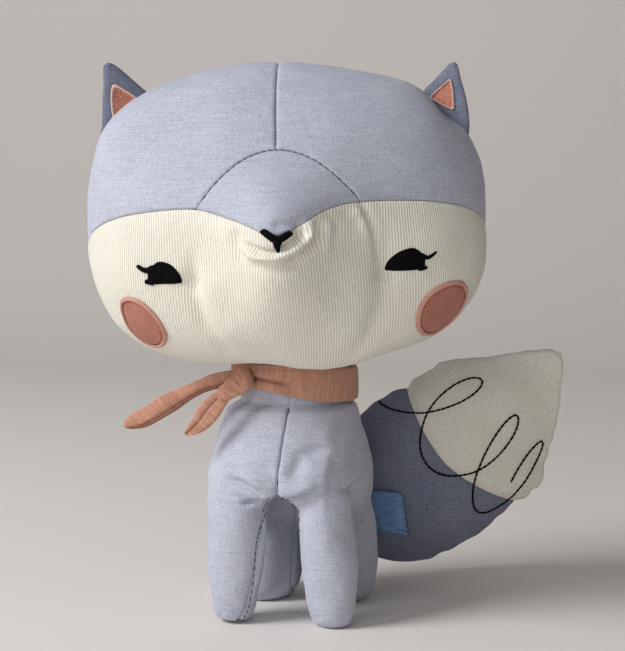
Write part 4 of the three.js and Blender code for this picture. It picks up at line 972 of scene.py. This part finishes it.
# Seams and wrinkles of the body, in millimetres: the arch between the legs, the inner leg seams with the strip of
# cloth behind each, the folds that the arch's corners throw, the hip crease and the puckers at the toes
archSeam = [(-6.3, -37.1, 54.6), (-3.6, -40.7, 57.1), (-0.2, -41, 57.6), (3.5, -40.5, 56.9), (6, -37.5, 54.9)]
leftLegSeam = [
    (-6.6, -34.6, 51.6), (-9.4, -34.3, 42), (-10.8, -36.4, 33.5), (-12, -37.2, 20.3), (-14.5, -38.2, 7),
    (-18.4, -38, 0),
]
rightLegSeam = [
    (6.1, -36, 53.4), (7.9, -34, 47), (9.6, -34, 40), (10.8, -35.4, 30), (11.9, -36, 14), (14.2, -36.6, 4.3),
    (18, -37, 0),
]
bodyFolds = [
    (archSeam, 0.8, -1.5, "whole"),
    ([archSeam[0], *leftLegSeam], 0.8, -1.5, "whole"),
    ([archSeam[-1], *rightLegSeam], 0.8, -1.2, "whole"),
    ([(x + 1.8, y + 2.6, z) for x, y, z in leftLegSeam[:-1]], 1.6, 1.2),
    ([(-25, -40, 66.6), (-17, -42, 63.8), (-11.5, -42, 61.2), (-3.6, -40.5, 57.4)], 1.7, -3.0),
    ([(-19, -42, 69), (-11, -42.4, 65.5), (-5, -42, 61.4)], 1.8, 0.8),
    ([(-19, -39.5, 53.4), (-11, -38.6, 55.6), (-4.4, -38, 57)], 1.3, -2.2),
    ([(-15, -40.5, 58), (-8, -40, 58.4)], 1.3, 0.7),
    ([(3, -40.3, 55.4), (9.6, -41.2, 58.3), (17, -41.4, 60.4)], 1.3, -2.8),
    ([(6, -41.5, 60), (12, -42.6, 62.8), (17, -42, 64)], 1.8, 0.8),
    ([(7, -38.6, 53.8), (13, -40, 54.2)], 1.0, -0.8),
    ([(5, -42.5, 62.5), (7.4, -42.5, 69), (10.6, -41, 77.6), (20, -36.5, 80.6), (33, -31, 84)], 3.6, -3),
    ([(15, -41, 66), (23, -38, 68)], 10, 1.5, "whole"),
    ([(-3, -43, 62), (-4, -42.5, 68), (-8, -40.5, 74)], 3.6, -0.9),
    ([(0, -43, 67), (-0.2, -41, 58)], 2.6, -1.3),
    ([(3.4, -27, 100.5), (2.3, -28, 93)], 1.5, -1.6, "whole"),
    ([(27, -37, 62.5), (32, -28, 60), (36, -12, 59.5)], 2.4, -1.6),
    ([(30, -30, 59), (33.3, -24, 61.5), (36, -10, 65)], 0.9, -2.6),
    ([(-28.5, -36, 56), (-33.3, -24, 59), (-36.5, -10, 61)], 1.7, -0.8),
    ([(14.2, -38, 3), (18.1, -40.5, 6)], 1.0, -0.8),
    ([(18, -40.5, 2), (21, -42, 5.5)], 0.9, -0.6),
    ([(31, -33, 2), (33, -30, 6)], 1.0, -0.7),
    ([(-26, -39, 2), (-27.5, -40, 6)], 1.0, -0.6),
]
arch = {"top": 57.8, "bow": 0.085, "back": (17, -8), "side": (17, 12)}


def archRise(place):
    # How far the belly is taken up between the front legs, to the arch of its seam
    rise = max(0, arch["top"] - arch["bow"] * place.x**2 - place.z)
    return rise * eased(*arch["back"], place.y) * eased(*arch["side"], abs(place.x))


def torsoPlace(u, w):
    height, width, depth, centre, roundness = curveThrough(torso["rows"], w)
    turn = 2 * math.pi * u
    c, s = math.cos(turn), math.sin(turn)
    reach = (abs(c) ** roundness + abs(s) ** roundness) ** (-1 / roundness)
    x = torso["halfWidth"] * max(0, width) * c * reach
    y = torso["halfDepth"] * (max(0, depth) * s * reach + centre)
    place = Vector((x, y, between(torso["bottom"], torso["top"], height)))
    place.z += archRise(place)
    return place


def legPlace(leg, side):
    def placeAt(u, w):
        height, radius, leanIn, leanBack = curveThrough(leg["rows"], w)
        turn = 2 * math.pi * u
        reach = leg["radius"] * max(0, radius)
        x = side * (leg["spread"] - leg["leanIn"] * leanIn) + reach * math.cos(turn)
        y = leg["back"] + leg["leanBack"] * leanBack + reach * leg["stretch"] * math.sin(turn)
        return Vector((x, y, max(0, height) * leg["height"]))

    return placeAt


def addRoundForm(mesh, columns, rows, placeAt):
    made = grid(mesh, columns, rows, placeAt, lambda u, w: (u, w))
    bmesh.ops.remove_doubles(mesh, verts=made, dist=0.01)


def remeshed(mesh, cell, turns):
    # One skin round the forms that the mesh holds, in cells of this size and smoothed this many times
    data = bpy.data.meshes.new("form")
    mesh.to_mesh(data)
    mesh.free()
    form = bpy.data.objects.new("form", data)
    bpy.context.collection.objects.link(form)
    remesh = form.modifiers.new("remesh", "REMESH")
    remesh.mode = "VOXEL"
    remesh.voxel_size = cell
    smooth = form.modifiers.new("smooth", "SMOOTH")
    smooth.factor = 0.5
    smooth.iterations = turns
    result = bmesh.new()
    result.from_object(form, bpy.context.evaluated_depsgraph_get())
    bpy.data.objects.remove(form)
    bpy.data.meshes.remove(data)
    return result


mesh = bmesh.new()
addRoundForm(mesh, 96, 96, torsoPlace)
for side in (-1, 1):
    addRoundForm(mesh, 60, 80, legPlace(frontLeg, side))
    addRoundForm(mesh, 60, 60, legPlace(hindLeg, side))
closedSkin(mesh)
form = remeshed(mesh.copy(), 4, 3)
seams = [Vector(curveThrough(route, k / 40)) for route in (archSeam, leftLegSeam, rightLegSeam) for k in range(41)]
seams += [vert.co.copy() for vert in form.verts if vert.co.z > 92 or vert.co.z < 3]
seams += [vert.co.copy() for vert in form.verts if -1 < vert.co.x < 3 or (abs(vert.co.x) < 12 and vert.co.z < 60)]
swell["body"] = blownUp(form, seams)
print("the body's cloth is blown up")
mesh = remeshed(mesh, 0.95, 26)
seamAlong = chestSeam["top"] - chestSeam["foot"]
seamAcross = Vector((seamAlong.z, 0, -seamAlong.x)).normalized()
bmesh.ops.bisect_plane(
    mesh, geom=mesh.verts[:] + mesh.edges[:] + mesh.faces[:], plane_co=chestSeam["foot"], plane_no=seamAcross
)
mesh.normal_update()
# The front legs narrow towards the feet, the left one more
ankle = {"front": -12, "heights": (32, 6), "left": 1.8, "right": 0.7}
# How far each side is drawn in, at which height and how far up and down from there
flank = {"left": (2.3, 89, 11), "right": (3.7, 64, 24), "across": (18, 27)}
shifts = {}
for vert in mesh.verts:
    place = vert.co
    side = "left" if place.x < 0 else "right"
    gap = abs((place - chestSeam["foot"]).dot(seamAcross))
    lift = 0.35 + 0.6 * noise.noise(place * 0.05) + 0.25 * noise.noise(place * 0.16)
    lift += foldsAt(place, bodyFolds) if place.y < 0 else 0
    lift += rolled(gap, 1.4, 1.3) - 0.4 * math.exp(-((gap / 4) ** 2))
    lift += 0.25 * noise.noise(place * 0.3) * math.exp(-((gap / 3) ** 2))
    if place.y < ankle["front"]:
        lift -= ankle[side] * eased(*ankle["heights"], place.z)
    shift = vert.normal * lift
    drawn, middle, reach = flank[side]
    shift.x -= drawn * math.exp(-(((place.z - middle) / reach) ** 2)) * eased(*flank["across"], abs(place.x))
    shifts[vert] = shift
for vert, shift in shifts.items():
    vert.co += shift
    vert.co.z = max(vert.co.z, 0.05)
    # Under the scarf the cloth stays clear of the band
    reach = math.hypot(vert.co.x, vert.co.y)
    most = torso["collar"] + torso["collarFlare"] * max(0, torso["collarFoot"] - vert.co.z)
    if vert.co.z > 90 and reach > most:
        vert.co.x *= most / reach
        vert.co.y *= most / reach

# Overcast stitches show as dark dashes in the arch and down the inner leg seams
dashes = {"pitch": 2.4, "length": 1.6, "radius": 0.2}
skin = BVHTree.FromBMesh(mesh)
runs = []
for route in (archSeam, [archSeam[0], *leftLegSeam], [archSeam[-1], *rightLegSeam[:3]]):
    length = sum(math.dist(a, b) for a, b in zip(route, route[1:]))
    for k in range(int(length / dashes["pitch"])):
        ends = [(k + 0.5) * dashes["pitch"] + dashes["length"] * (m / 4 - 0.5) for m in range(5)]
        places = [Vector(curveThrough(route, min(1, max(0, end / length)))) for end in ends]
        found = []
        for place in places:
            # Where the seam shows from the front, or else the nearest cloth
            hit = skin.ray_cast(Vector((place.x, -80, place.z)), Vector((0, 1, 0)))
            found.append(hit if hit[0] and (hit[0] - place).length < 5 else skin.find_nearest(place))
        runs.append([place + normal * 0.05 for place, normal, index, gap in found])
addThread("seamStitches", runs, dashes["radius"], dashes["length"], "body")
for side, label in ((-1, "left"), (1, "right")):
    half = mesh.copy()
    bmesh.ops.bisect_plane(
        half,
        geom=half.verts[:] + half.edges[:] + half.faces[:],
        dist=0.02,
        plane_co=chestSeam["foot"],
        plane_no=seamAcross,
        clear_inner=side > 0,
        clear_outer=side < 0,
    )
    nodes = [f"torso_cover_{label}", f"front_leg_cover_{label}", f"hind_leg_cover_{label}"]
    addPiece("body" + label.title(), half, blueCotton, "body", "blue_cotton", nodes, wall=0.9)
mesh.free()
print("body panels are sewn")

# Neck: a short sleeve of cloth that runs up into the head
neck = {"rows": [(22.5, 96), (24.3, 99), (24.8, 106), (24.7, 112), (24.9, 117), (25.2, 122), (24.8, 127), (23.5, 131)]}
mesh = bmesh.new()


def neckPlace(u, w):
    reach, high = curveThrough(neck["rows"], w)
    turn = 2 * math.pi * u
    gather = 0.35 * math.sin(turn * 22 + noise.noise(Vector((math.cos(turn), math.sin(turn), 1))) * 3)
    reach += gather * eased(110, 117, high)
    return Vector((reach * math.cos(turn), reach * math.sin(turn), high))


joinEnds(mesh, grid(mesh, 132, 30, neckPlace, lambda u, w: (u * 155, w * 30)))
faceOut(mesh, (0, 0, 108))
bmesh.ops.solidify(mesh, geom=mesh.faces[:], thickness=0.8)
bmesh.ops.recalc_face_normals(mesh, faces=mesh.faces[:])
neckPiece = addPiece("neckSleeve", mesh, blueCotton, None, "blue_cotton", ["neck_filling"])
tuple(toFrame((0, 0, 110)))
tuple(toFrame((0, 0, 118.5)))
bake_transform(neckPiece)
print("neck is sewn")

# Tail: a flat leaf of four panels, stuffed, leaning up to the right behind the body
tail = {
    "rootRight": 9.5, "rootBack": 47.6, "rootHeight": 47, "halfWidth": 40.5, "halfThickness": 21, "length": 135,
    "slope": 44, "bend": 13, "bendReach": 25, "turnBack": 0.05, "colourRow": 6,
    "rows": [  # along, upper width, lower width and thickness, as shares
        (0, 0, 0, 0), (0.022, 0.38, 0.32, 0.38), (0.078, 0.7, 0.56, 0.66), (0.168, 0.94, 0.76, 0.88),
        (0.282, 1.08, 0.885, 0.99), (0.375, 1.08, 0.935, 1), (0.465, 0.99, 0.93, 0.99),
        (0.535, 0.955, 0.975, 0.955), (0.61, 0.935, 0.965, 0.87), (0.7, 0.83, 0.8, 0.72),
        (0.79, 0.61, 0.645, 0.54), (0.875, 0.42, 0.44, 0.36), (0.945, 0.24, 0.25, 0.21),
        (0.985, 0.14, 0.13, 0.13), (1.004, 0.02, 0.02, 0.02),
    ],
}
slope = math.radians(tail["slope"])
tailAxis = Vector((math.cos(slope), 0, math.sin(slope)))
tailAcross = Vector((-math.sin(slope), 0, math.cos(slope)))
tailCentre = Vector((tail["rootRight"] + tail["halfWidth"], 0, tail["rootHeight"]))


def tailFlat(along, across, lift):
    flat = tailCentre + tailAxis * along + tailAcross * across
    reach = max(0, flat.x - tail["rootRight"])
    back = tail["rootBack"] + tail["bend"] * (1 - math.exp(-reach / tail["bendReach"])) + tail["turnBack"] * reach
    return Vector((flat.x, back - lift, flat.z))


def tailRow(share, turn):
    # Along, width and thickness at a share of the rows, the width being the upper or the lower side's
    along, upper, lower, thickness = curveThrough(tail["rows"], share)
    return along, between(lower, upper, eased(-0.5, 0.5, math.cos(turn))), thickness


def tailPlace(row, turn):
    # The row counts along the tail, and the turn goes from 0 at the upper edge over the front to half a turn at the
    # lower edge
    along, width, thickness = tailRow(row / lastRow, turn)
    c, s = math.cos(turn), math.sin(turn)
    # The seam between the colours bows back in the middle, and the white cloth puffs out beyond the blue
    bow = (0.066 * abs(c) ** 1.6 - 0.01) * math.exp(-(((row - tail["colourRow"]) / 2.2) ** 2))
    edgeGap = tail["halfThickness"] * max(0, thickness) * min(abs(turn % math.pi), math.pi - abs(turn % math.pi))
    colourGap = abs(row - tail["colourRow"]) * 9.5
    spot = Vector((along * 60, c * width * 20, math.copysign(2, s)))
    wave = noise.noise(Vector((along * 24, math.copysign(5, c), 1.5)))
    lift = 0.7 * noise.noise(spot * 0.12) + 0.5 * wave * math.exp(-edgeGap / 7) * eased(0, 0.5, thickness)
    lift += rolled(edgeGap, 1.6, 1.1) + rolled(colourGap, 1.5, 1.0) - 0.3 * math.exp(-((colourGap / 4) ** 2))
    if row > tail["colourRow"]:
        lift += 0.8 * math.exp(-(((colourGap - 5) / 3.5) ** 2))
    flatness = 1 - 0.1 * (1 - abs(s)) * abs(c)
    across = tail["halfWidth"] * max(0, width) * c + 0.8 * wave * c
    half = tail["halfThickness"] * max(0, thickness)
    place = -tail["halfWidth"] + tail["length"] * (along + bow)
    slant = Vector((c * half, s * tail["halfWidth"] * max(0.05, width))) if half > 0.5 else Vector((c, s))
    slant.normalize()
    return tailFlat(place, across + slant.x * lift, half * s * flatness + slant.y * lift)


lastRow = len(tail["rows"]) - 1
tailPanels = {
    # The tail's base panels take the darker copy of the blue cotton: painted shade
    "tailBaseFront": (0, 1, 0, tail["colourRow"], shadedBlueCotton, "blue_cotton", "tail_base_front"),
    "tailBaseBack": (1, 2, 0, tail["colourRow"], shadedBlueCotton, "blue_cotton", "tail_base_back"),
    "tailTipFront": (0, 1, tail["colourRow"], lastRow, whiteRib, "white_rib_cotton", "tail_tip_front"),
    "tailTipBack": (1, 2, tail["colourRow"], lastRow, whiteRib, "white_rib_cotton", "tail_tip_back"),
}
form = bmesh.new()

def tailRound(u, w):
    return tailPlace(between(0.3, lastRow - 0.2, w), 2 * math.pi * u)

joinEnds(form, grid(form, 72, 60, tailRound, lambda u, w: (u, w)))
closedSkin(form)
seams = [tailPlace(lastRow * k / 120, math.pi * half) for k in range(121) for half in (0, 1)]
seams += [tailPlace(tail["colourRow"], math.pi * k / 60) for k in range(121)]
swell["tail"] = blownUp(form, seams)
print("the tail's cloth is blown up")

tailFront = bmesh.new()
for name, (fromTurn, toTurn, fromRow, toRow, finish, slot, node) in tailPanels.items():
    mesh = bmesh.new()

    def tailAt(u, w):
        return tailPlace(between(fromRow, toRow, bunched(w)), math.pi * (fromTurn + bunched(u) * (toTurn - fromTurn)))

    def tailCloth(u, w):
        turn = math.pi * (fromTurn + bunched(u))
        along, width, thickness = tailRow(between(fromRow, toRow, bunched(w)) / lastRow, turn)
        return tail["halfWidth"] * 1.18 * math.cos(turn) * width, tail["length"] * along

    joinEnds(mesh, grid(mesh, count(114), count(108), tailAt, tailCloth))
    faceOut(mesh, tailFlat(10, 0, 0))
    if fromTurn == 0:
        grid(tailFront, 60, 60, tailAt, tailCloth)
    addPiece(name, mesh, finish, "tail", slot, [node], wall=0.9)
tailSkin = BVHTree.FromBMesh(tailFront)
tailFront.free()


def onTail(right, high, lift):
    # The place on the tail's front at this spot, or nothing beside the tail
    place = tailSkin.ray_cast(Vector((right, -50, high)), Vector((0, 1, 0)))[0]
    return place and place + Vector((0, -lift, 0))


print("tail is sewn")

# Running stitch in loops across the tail, in two-ply black thread: a trochoid that runs down from the upper edge.
# The loops lean more and more upright and close up, and the line ends where it leaves the front of the tail
loops = {
    "middle": 37.7, "reach": 23, "from": 47.5, "travel": 8.25, "slowing": 0.21, "swing": (3, 1.4),
    "lean": (-19, 13), "turns": (0, 5.5), "thread": 0.5, "stitch": 2.6,
}
runs, run = [], []
steps = 1100
for k in range(steps + 1):
    angle = math.pi * between(*loops["turns"], k / steps)
    lean = math.radians(between(*loops["lean"], eased(math.pi, 3 * math.pi, angle)))
    pace = loops["travel"] - 2 * loops["slowing"] * angle
    swing = loops["swing"][0] + loops["swing"][1] * pace
    along, across = -loops["reach"] * math.cos(angle), -swing * math.sin(angle)
    high = loops["from"] - loops["travel"] * angle + loops["slowing"] * angle**2
    flat = tailCentre + tailAxis * (loops["middle"] + along * math.cos(lean) - across * math.sin(lean))
    flat += tailAcross * (high + along * math.sin(lean) + across * math.cos(lean))
    place = onTail(flat.x, flat.z, loops["thread"] * 0.7)
    if place:
        run.append(place)
    if run and (not place or k == steps):
        runs.append(run)
        run = []
addThread("tailStitching", [run for run in runs if len(run) > 12], loops["thread"], loops["stitch"], "tail")

# Label: a short loop of ribbon, folded in two and left bare; the back layer shows at the right as a thin strip
label = {
    "corners": [(29.5, 49.2), (43.6, 48.6), (45.8, 27.8), (30.4, 30)],  # from the upper left one round
    "shift": (2.0, -1.3), "lift": 1.1, "gap": 1.4,
}


def labelAt(u, w):
    # Over the front from left to right, round the fold at the foot of the ribbon and back behind
    layer = 0 if u < 0.5 else 1
    t = 2 * u if u < 0.5 else 2 - 2 * u
    corners = [Vector(corner) + Vector(label["shift"]) * layer * t for corner in label["corners"]]
    flat = corners[3].lerp(corners[2], t).lerp(corners[0].lerp(corners[1], t), w)
    base = onTail(flat.x, flat.y, label["lift"])
    bow = 1.5 * t**2 + 0.25 * math.sin(w * 5)
    apart = label["gap"] * (0.5 - layer) * math.sqrt(max(0, 1 - eased(0.9, 1, t)))
    return Vector((flat.x, base.y - bow - apart, flat.y))


mesh = bmesh.new()
grid(mesh, 72, 36, labelAt, lambda u, w: (u * 20, w * 19))
faceOut(mesh, (39, 80, 39))
addPiece("labelTab", mesh, blueRibbon, "tail", "blue_ribbon", ["label_tab"], wall=0.35)
print("stitching and label are on the tail")

# Scarf: a pressed tube of thin cotton round the neck, tied at the fox's right front
scarf = {
    "inner": 26.1, "outer": 29.3, "low": 98.6, "high": 114.4,
    "knot": Vector((-18.2, -28.6, 107.6)),
    "knotLow": 103.3, "knotHigh": 114.2, "droop": 1.9,
}
knotTurn = math.atan2(scarf["knot"].y, scarf["knot"].x)
bandFolds = [
    ([(-3, 108.8), (1, 108.3), (8, 107.5), (15, 106.5), (21, 105.8)], 0.6, -2.6),
    ([(-1, 111), (7, 110.6), (16, 109.6)], 1.9, 1.0),
    ([(1, 105.6), (8, 104.2), (17, 102.6)], 1.6, 0.5),
    ([(2, 112.8), (14, 112.8), (34, 112.4)], 0.7, -0.4),
]
mesh = bmesh.new()


def bandPlace(u, w):
    # Round the neck from the knot by u, and round the flat tube by w
    turn = knotTurn + 2 * math.pi * u
    nearKnot = min(u, 1 - u) * 2 * math.pi * scarf["outer"]
    spread = eased(1, 34, nearKnot)
    low, high = between(scarf["knotLow"], scarf["low"], spread), between(scarf["knotHigh"], scarf["high"], spread)
    angle = 2 * math.pi * w
    c, s = math.cos(angle), math.sin(angle)
    reach = (abs(c) ** 5 + abs(s) ** 5) ** (-0.2)
    z = (low + high) / 2 + (high - low) / 2 * s * reach
    middle, half = (scarf["inner"] + scarf["outer"]) / 2, (scarf["outer"] - scarf["inner"]) / 2
    radius = middle + half * c * reach - 0.8 * eased(0.02, 0.5, u) * eased(0.98, 0.5, u)
    if c > 0:
        along = u * 2 * math.pi * scarf["outer"]
        radius += foldsAt((along, z), bandFolds) * c
        radius += 0.35 * noise.noise(Vector((along * 0.16, z * 0.05, 2)))
        radius += 0.14 * noise.noise(Vector((along * 0.7, z * 0.1, 4)))
        radius += 0.4 * (1 - ((z - (low + high) / 2) / ((high - low) / 2)) ** 2) * eased(0.45, 0.2, u)
    z += 0.3 * noise.noise(Vector((math.cos(turn) * 3, math.sin(turn) * 3, s)))
    right = radius * math.cos(turn)
    droop = scarf["droop"] * eased(6, 30, right) * (1 + 0.5 * max(0, s))
    return Vector((right, radius * math.sin(turn), z - droop))


joinEnds(mesh, grid(mesh, count(396), count(96), bandPlace, lambda u, w: (u * 184, w * 38)))
bmesh.ops.recalc_face_normals(mesh, faces=mesh.faces[:])
addPiece("scarfBand", mesh, coralCotton, "scarf", "coral_cotton", ["scarf_band"])

# The knot is one flat wrap of the strap, with a line at each side of it
knot = {"half": (3.1, 3.3, 5.3), "centre": Vector((-17, -31.6, 108.2)), "tilt": -30, "squareness": 3}
knotFolds = [
    ([(-0.3, 1), (-0.5, 0.2), (-0.2, -1)], 0.1, -0.3),
    ([(0.3, 1), (0.45, 0), (0.3, -1)], 0.1, -0.26),
]
mesh = bmesh.new()
bmesh.ops.create_uvsphere(mesh, u_segments=72, v_segments=48, radius=1)
clothMap = mesh.loops.layers.uv.new("cloth")
for face in mesh.faces:
    for loop in face.loops:
        loop[clothMap].uv = (loop.vert.co.z * 9, loop.vert.co.x * 9)
knotFrame = Matrix.Rotation(knotTurn + math.pi / 2, 3, "Z") @ Matrix.Rotation(math.radians(knot["tilt"]), 3, "Y")
for vert in mesh.verts:
    unit = vert.co.copy()
    reach = sum(abs(part) ** knot["squareness"] for part in unit) ** (-1 / knot["squareness"])
    lift = 1 + 0.06 * noise.noise(unit * 2.1)
    if unit.y < 0:
        lift += foldsAt((unit.x * reach, unit.z * reach), knotFolds)
    shaped = Vector(a * b * reach * lift for a, b in zip(unit, knot["half"]))
    vert.co = knot["centre"] + knotFrame @ shaped
addPiece("scarfKnot", mesh, coralCotton, "scarf", "coral_cotton", ["scarf_knot"])


def strap(mesh, values, columns=72, rows=120):
    # A flat tube between its two edges, which are given right and high, with its depth and its thickness
    length = sum(math.dist(a[:2], b[:2]) for a, b in zip(values["rows"], values["rows"][1:]))

    def placeAt(u, w):
        right, high, toRight, toHigh, depth, thick = curveThrough(values["rows"], w)
        angle = 2 * math.pi * u
        c, s = math.cos(angle), math.sin(angle)
        reach = (abs(c) ** 4 + abs(s) ** 4) ** (-1 / 4)
        share, out = 0.5 - 0.5 * c * reach, max(0.05, thick) / 2 * s * reach
        width = math.dist((right, high), (toRight, toHigh))
        body = min(1, max(0, thick - 0.3))
        if s > 0:
            out -= values["hemDepth"] * math.exp(-(((share - values["hem"]) * width / 0.42) ** 2)) * body
            out -= values["strip"] * max(0, share - values["hem"]) / max(0.2, 1 - values["hem"]) * body
            out += values["ridge"] * math.exp(-(((share - values["hem"] + 0.3) / 0.22) ** 2)) * math.sin(math.pi * w)
        out += values["wrinkle"] * noise.noise(Vector((w * 9, c * 1.2, values["seed"]))) * body
        out += 0.35 * values["wrinkle"] * noise.noise(Vector((w * 34, c * 1.5, values["seed"]))) * body
        return Vector((between(right, toRight, share), depth - out, between(high, toHigh, share)))

    joinEnds(mesh, grid(mesh, columns, rows, placeAt, lambda u, w: (w * length, u * 26)))


# Rows: upper edge right and high, lower edge right and high, depth, thickness
longEnd = {
    "rows": [
        (-14, 110, -13, 106, -26.4, 2.2), (-19.5, 111.8, -19.5, 107, -27, 3.0),
        (-25.5, 111.4, -24.2, 105.2, -27.4, 3.0), (-32.6, 109.8, -29, 103.6, -28, 3.0),
        (-37.2, 107.8, -34.8, 101.9, -28.6, 3.0), (-45.9, 104, -41.6, 98.4, -29.8, 3.0),
        (-54.2, 100.6, -47.6, 94, -31, 3.0), (-60.8, 95.8, -54, 90.1, -32, 3.0),
        (-67.4, 92.3, -60.6, 86.4, -33, 2.6), (-70.6, 89, -66.4, 85.3, -33.4, 2.0),
        (-71.2, 86.9, -69.6, 85.5, -33.6, 0.8), (-71, 86.2, -70.8, 86, -33.6, 0.1),
    ],
    "hem": 0.79, "hemDepth": 2.8, "strip": 2.6, "ridge": 0.3, "wrinkle": 0.6, "seed": 3,
}
shortSleeve = {
    "rows": [
        (-17.5, 112.4, -12.6, 106, -29.4, 2.8), (-20.6, 110.9, -14.2, 104.2, -31.4, 3.6),
        (-25.2, 107, -19, 101, -33.4, 4.6), (-29.8, 102.2, -25.4, 98.4, -34.6, 4.6),
    ],
    "hem": 2, "hemDepth": 0, "strip": 0, "ridge": 0.3, "wrinkle": 0.7, "seed": 5,
}
shortLeaf = {
    "rows": [
        (-26, 105, -21, 101.5, -34.4, 1.6), (-31, 101.4, -24.4, 97, -35, 2.8),
        (-35.6, 97.6, -27.7, 91.6, -35.4, 3), (-38.6, 92.1, -32.4, 86.6, -35.8, 3),
        (-41.2, 87.6, -37.6, 83.9, -36.2, 2.2), (-42.8, 85, -41.2, 83.4, -36.4, 1.0),
        (-42.6, 84, -42.3, 83.8, -36.4, 0.1),
    ],
    "hem": 0.42, "hemDepth": 1.0, "strip": 0, "ridge": 0.5, "wrinkle": 0.5, "seed": 8,
}
mesh = bmesh.new()
strap(mesh, longEnd)
closedSkin(mesh)
addPiece("scarfEndLong", mesh, coralCotton, "scarf_tail_long", "coral_cotton", ["scarf_end_long"])
mesh = bmesh.new()
strap(mesh, shortSleeve, 72, 60)
strap(mesh, shortLeaf, 72, 60)
closedSkin(mesh)
addPiece("scarfEndShort", mesh, coralCotton, "scarf_tail_short", "coral_cotton", ["scarf_end_short"])
print("scarf is tied")

# Stuffing: clumped fibre inside the covers, well clear of the cloth
stuffing = {
    "head_filling": ("head", 4.0), "torso_filling": ("body", 5.0), "front_leg_filling_left": ("body", 4.4),
    "front_leg_filling_right": ("body", 4.4), "hind_leg_filling_left": ("body", 2.4),
    "hind_leg_filling_right": ("body", 2.4), "tail_filling": ("tail", 6.0),
}
for node, (body, inset) in stuffing.items():
    mesh = bmesh.new()
    mesh.from_mesh(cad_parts[node].data)
    for vert in mesh.verts:
        vert.co = (vert.co - neckMiddle) * 1000
    bmesh.ops.remove_doubles(mesh, verts=mesh.verts[:], dist=0.01)
    mesh = remeshed(mesh, 3.2, 4)
    mesh.normal_update()
    shifts = {vert: vert.normal * (0.8 * noise.noise(vert.co * 0.18) - inset) for vert in mesh.verts}
    if node == "torso_filling":
        for vert in mesh.verts:
            rise = archRise(vert.co)
            shifts[vert].z += rise + min(3, 2 * rise)
    for vert, shift in shifts.items():
        vert.co += shift
    name = "stuffing" + "".join(word.title() for word in node.replace("_filling", "").split("_"))
    addPiece(name, mesh, fibre, body, "fibre_stuffing", [node])
print("stuffing is in")

# Studio: pale floor and backdrop, soft light
studio = {"floor": "#E9E4E0", "keyEnergy": 27, "fillEnergy": 5.5, "worldStrength": 0.24}
mesh = bmesh.new()
corner = [(-3, -2.5, 0), (3, -2.5, 0), (3, 1.1, 0), (-3, 1.1, 0)]
mesh.faces.new([mesh.verts.new(place) for place in corner])
backEdge = [edge for edge in mesh.edges if all(vert.co.y > 1 for vert in edge.verts)]
axis = Vector((0, 1.1, 0.6))
bmesh.ops.spin(mesh, geom=backEdge, cent=axis, axis=(1, 0, 0), angle=math.pi / 2, steps=16)
topEdge = [edge for edge in mesh.edges if all(vert.co.z > 0.55 for vert in edge.verts)]
risen = bmesh.ops.extrude_edge_only(mesh, edges=topEdge)["geom"]
bmesh.ops.translate(mesh, verts=[g for g in risen if isinstance(g, bmesh.types.BMVert)], vec=(0, 0, 2.5))
bmesh.ops.recalc_face_normals(mesh, faces=mesh.faces[:])
data = bpy.data.meshes.new("studioFloor")
mesh.to_mesh(data)
mesh.free()
data.shade_smooth()
floor = bpy.data.objects.new("studioFloor", data)
bpy.context.collection.objects.link(floor)
floorFinish = bpy.data.materials.new("palePaper")
floorFinish.use_nodes = True
paper = floorFinish.node_tree.nodes["Principled BSDF"]
paper.inputs["Base Color"].default_value = linear(studio["floor"])
paper.inputs["Roughness"].default_value = 0.9
data.materials.append(floorFinish)


def addLamp(name, place, target, size, energy):
    lamp = bpy.data.lights.new(name, "AREA")
    lamp.shape = "DISK"
    lamp.size = size
    lamp.energy = energy
    holder = bpy.data.objects.new(name, lamp)
    holder.location = place
    holder.rotation_euler = (Vector(target) - Vector(place)).to_track_quat("-Z", "Y").to_euler()
    bpy.context.collection.objects.link(holder)


addLamp("keyLamp", (-1.25, -0.85, 1.2), (0, 0, 0.12), 0.9, studio["keyEnergy"])
addLamp("fillLamp", (-0.3, -1.65, 0.4), (0, 0, 0.12), 1.0, studio["fillEnergy"])
world = bpy.data.worlds.new("studio")
bpy.context.scene.world = world
world.use_nodes = True
world.node_tree.nodes["Background"].inputs["Color"].default_value = linear("#F4F3F1")
world.node_tree.nodes["Background"].inputs["Strength"].default_value = studio["worldStrength"]
print("studio is lit")
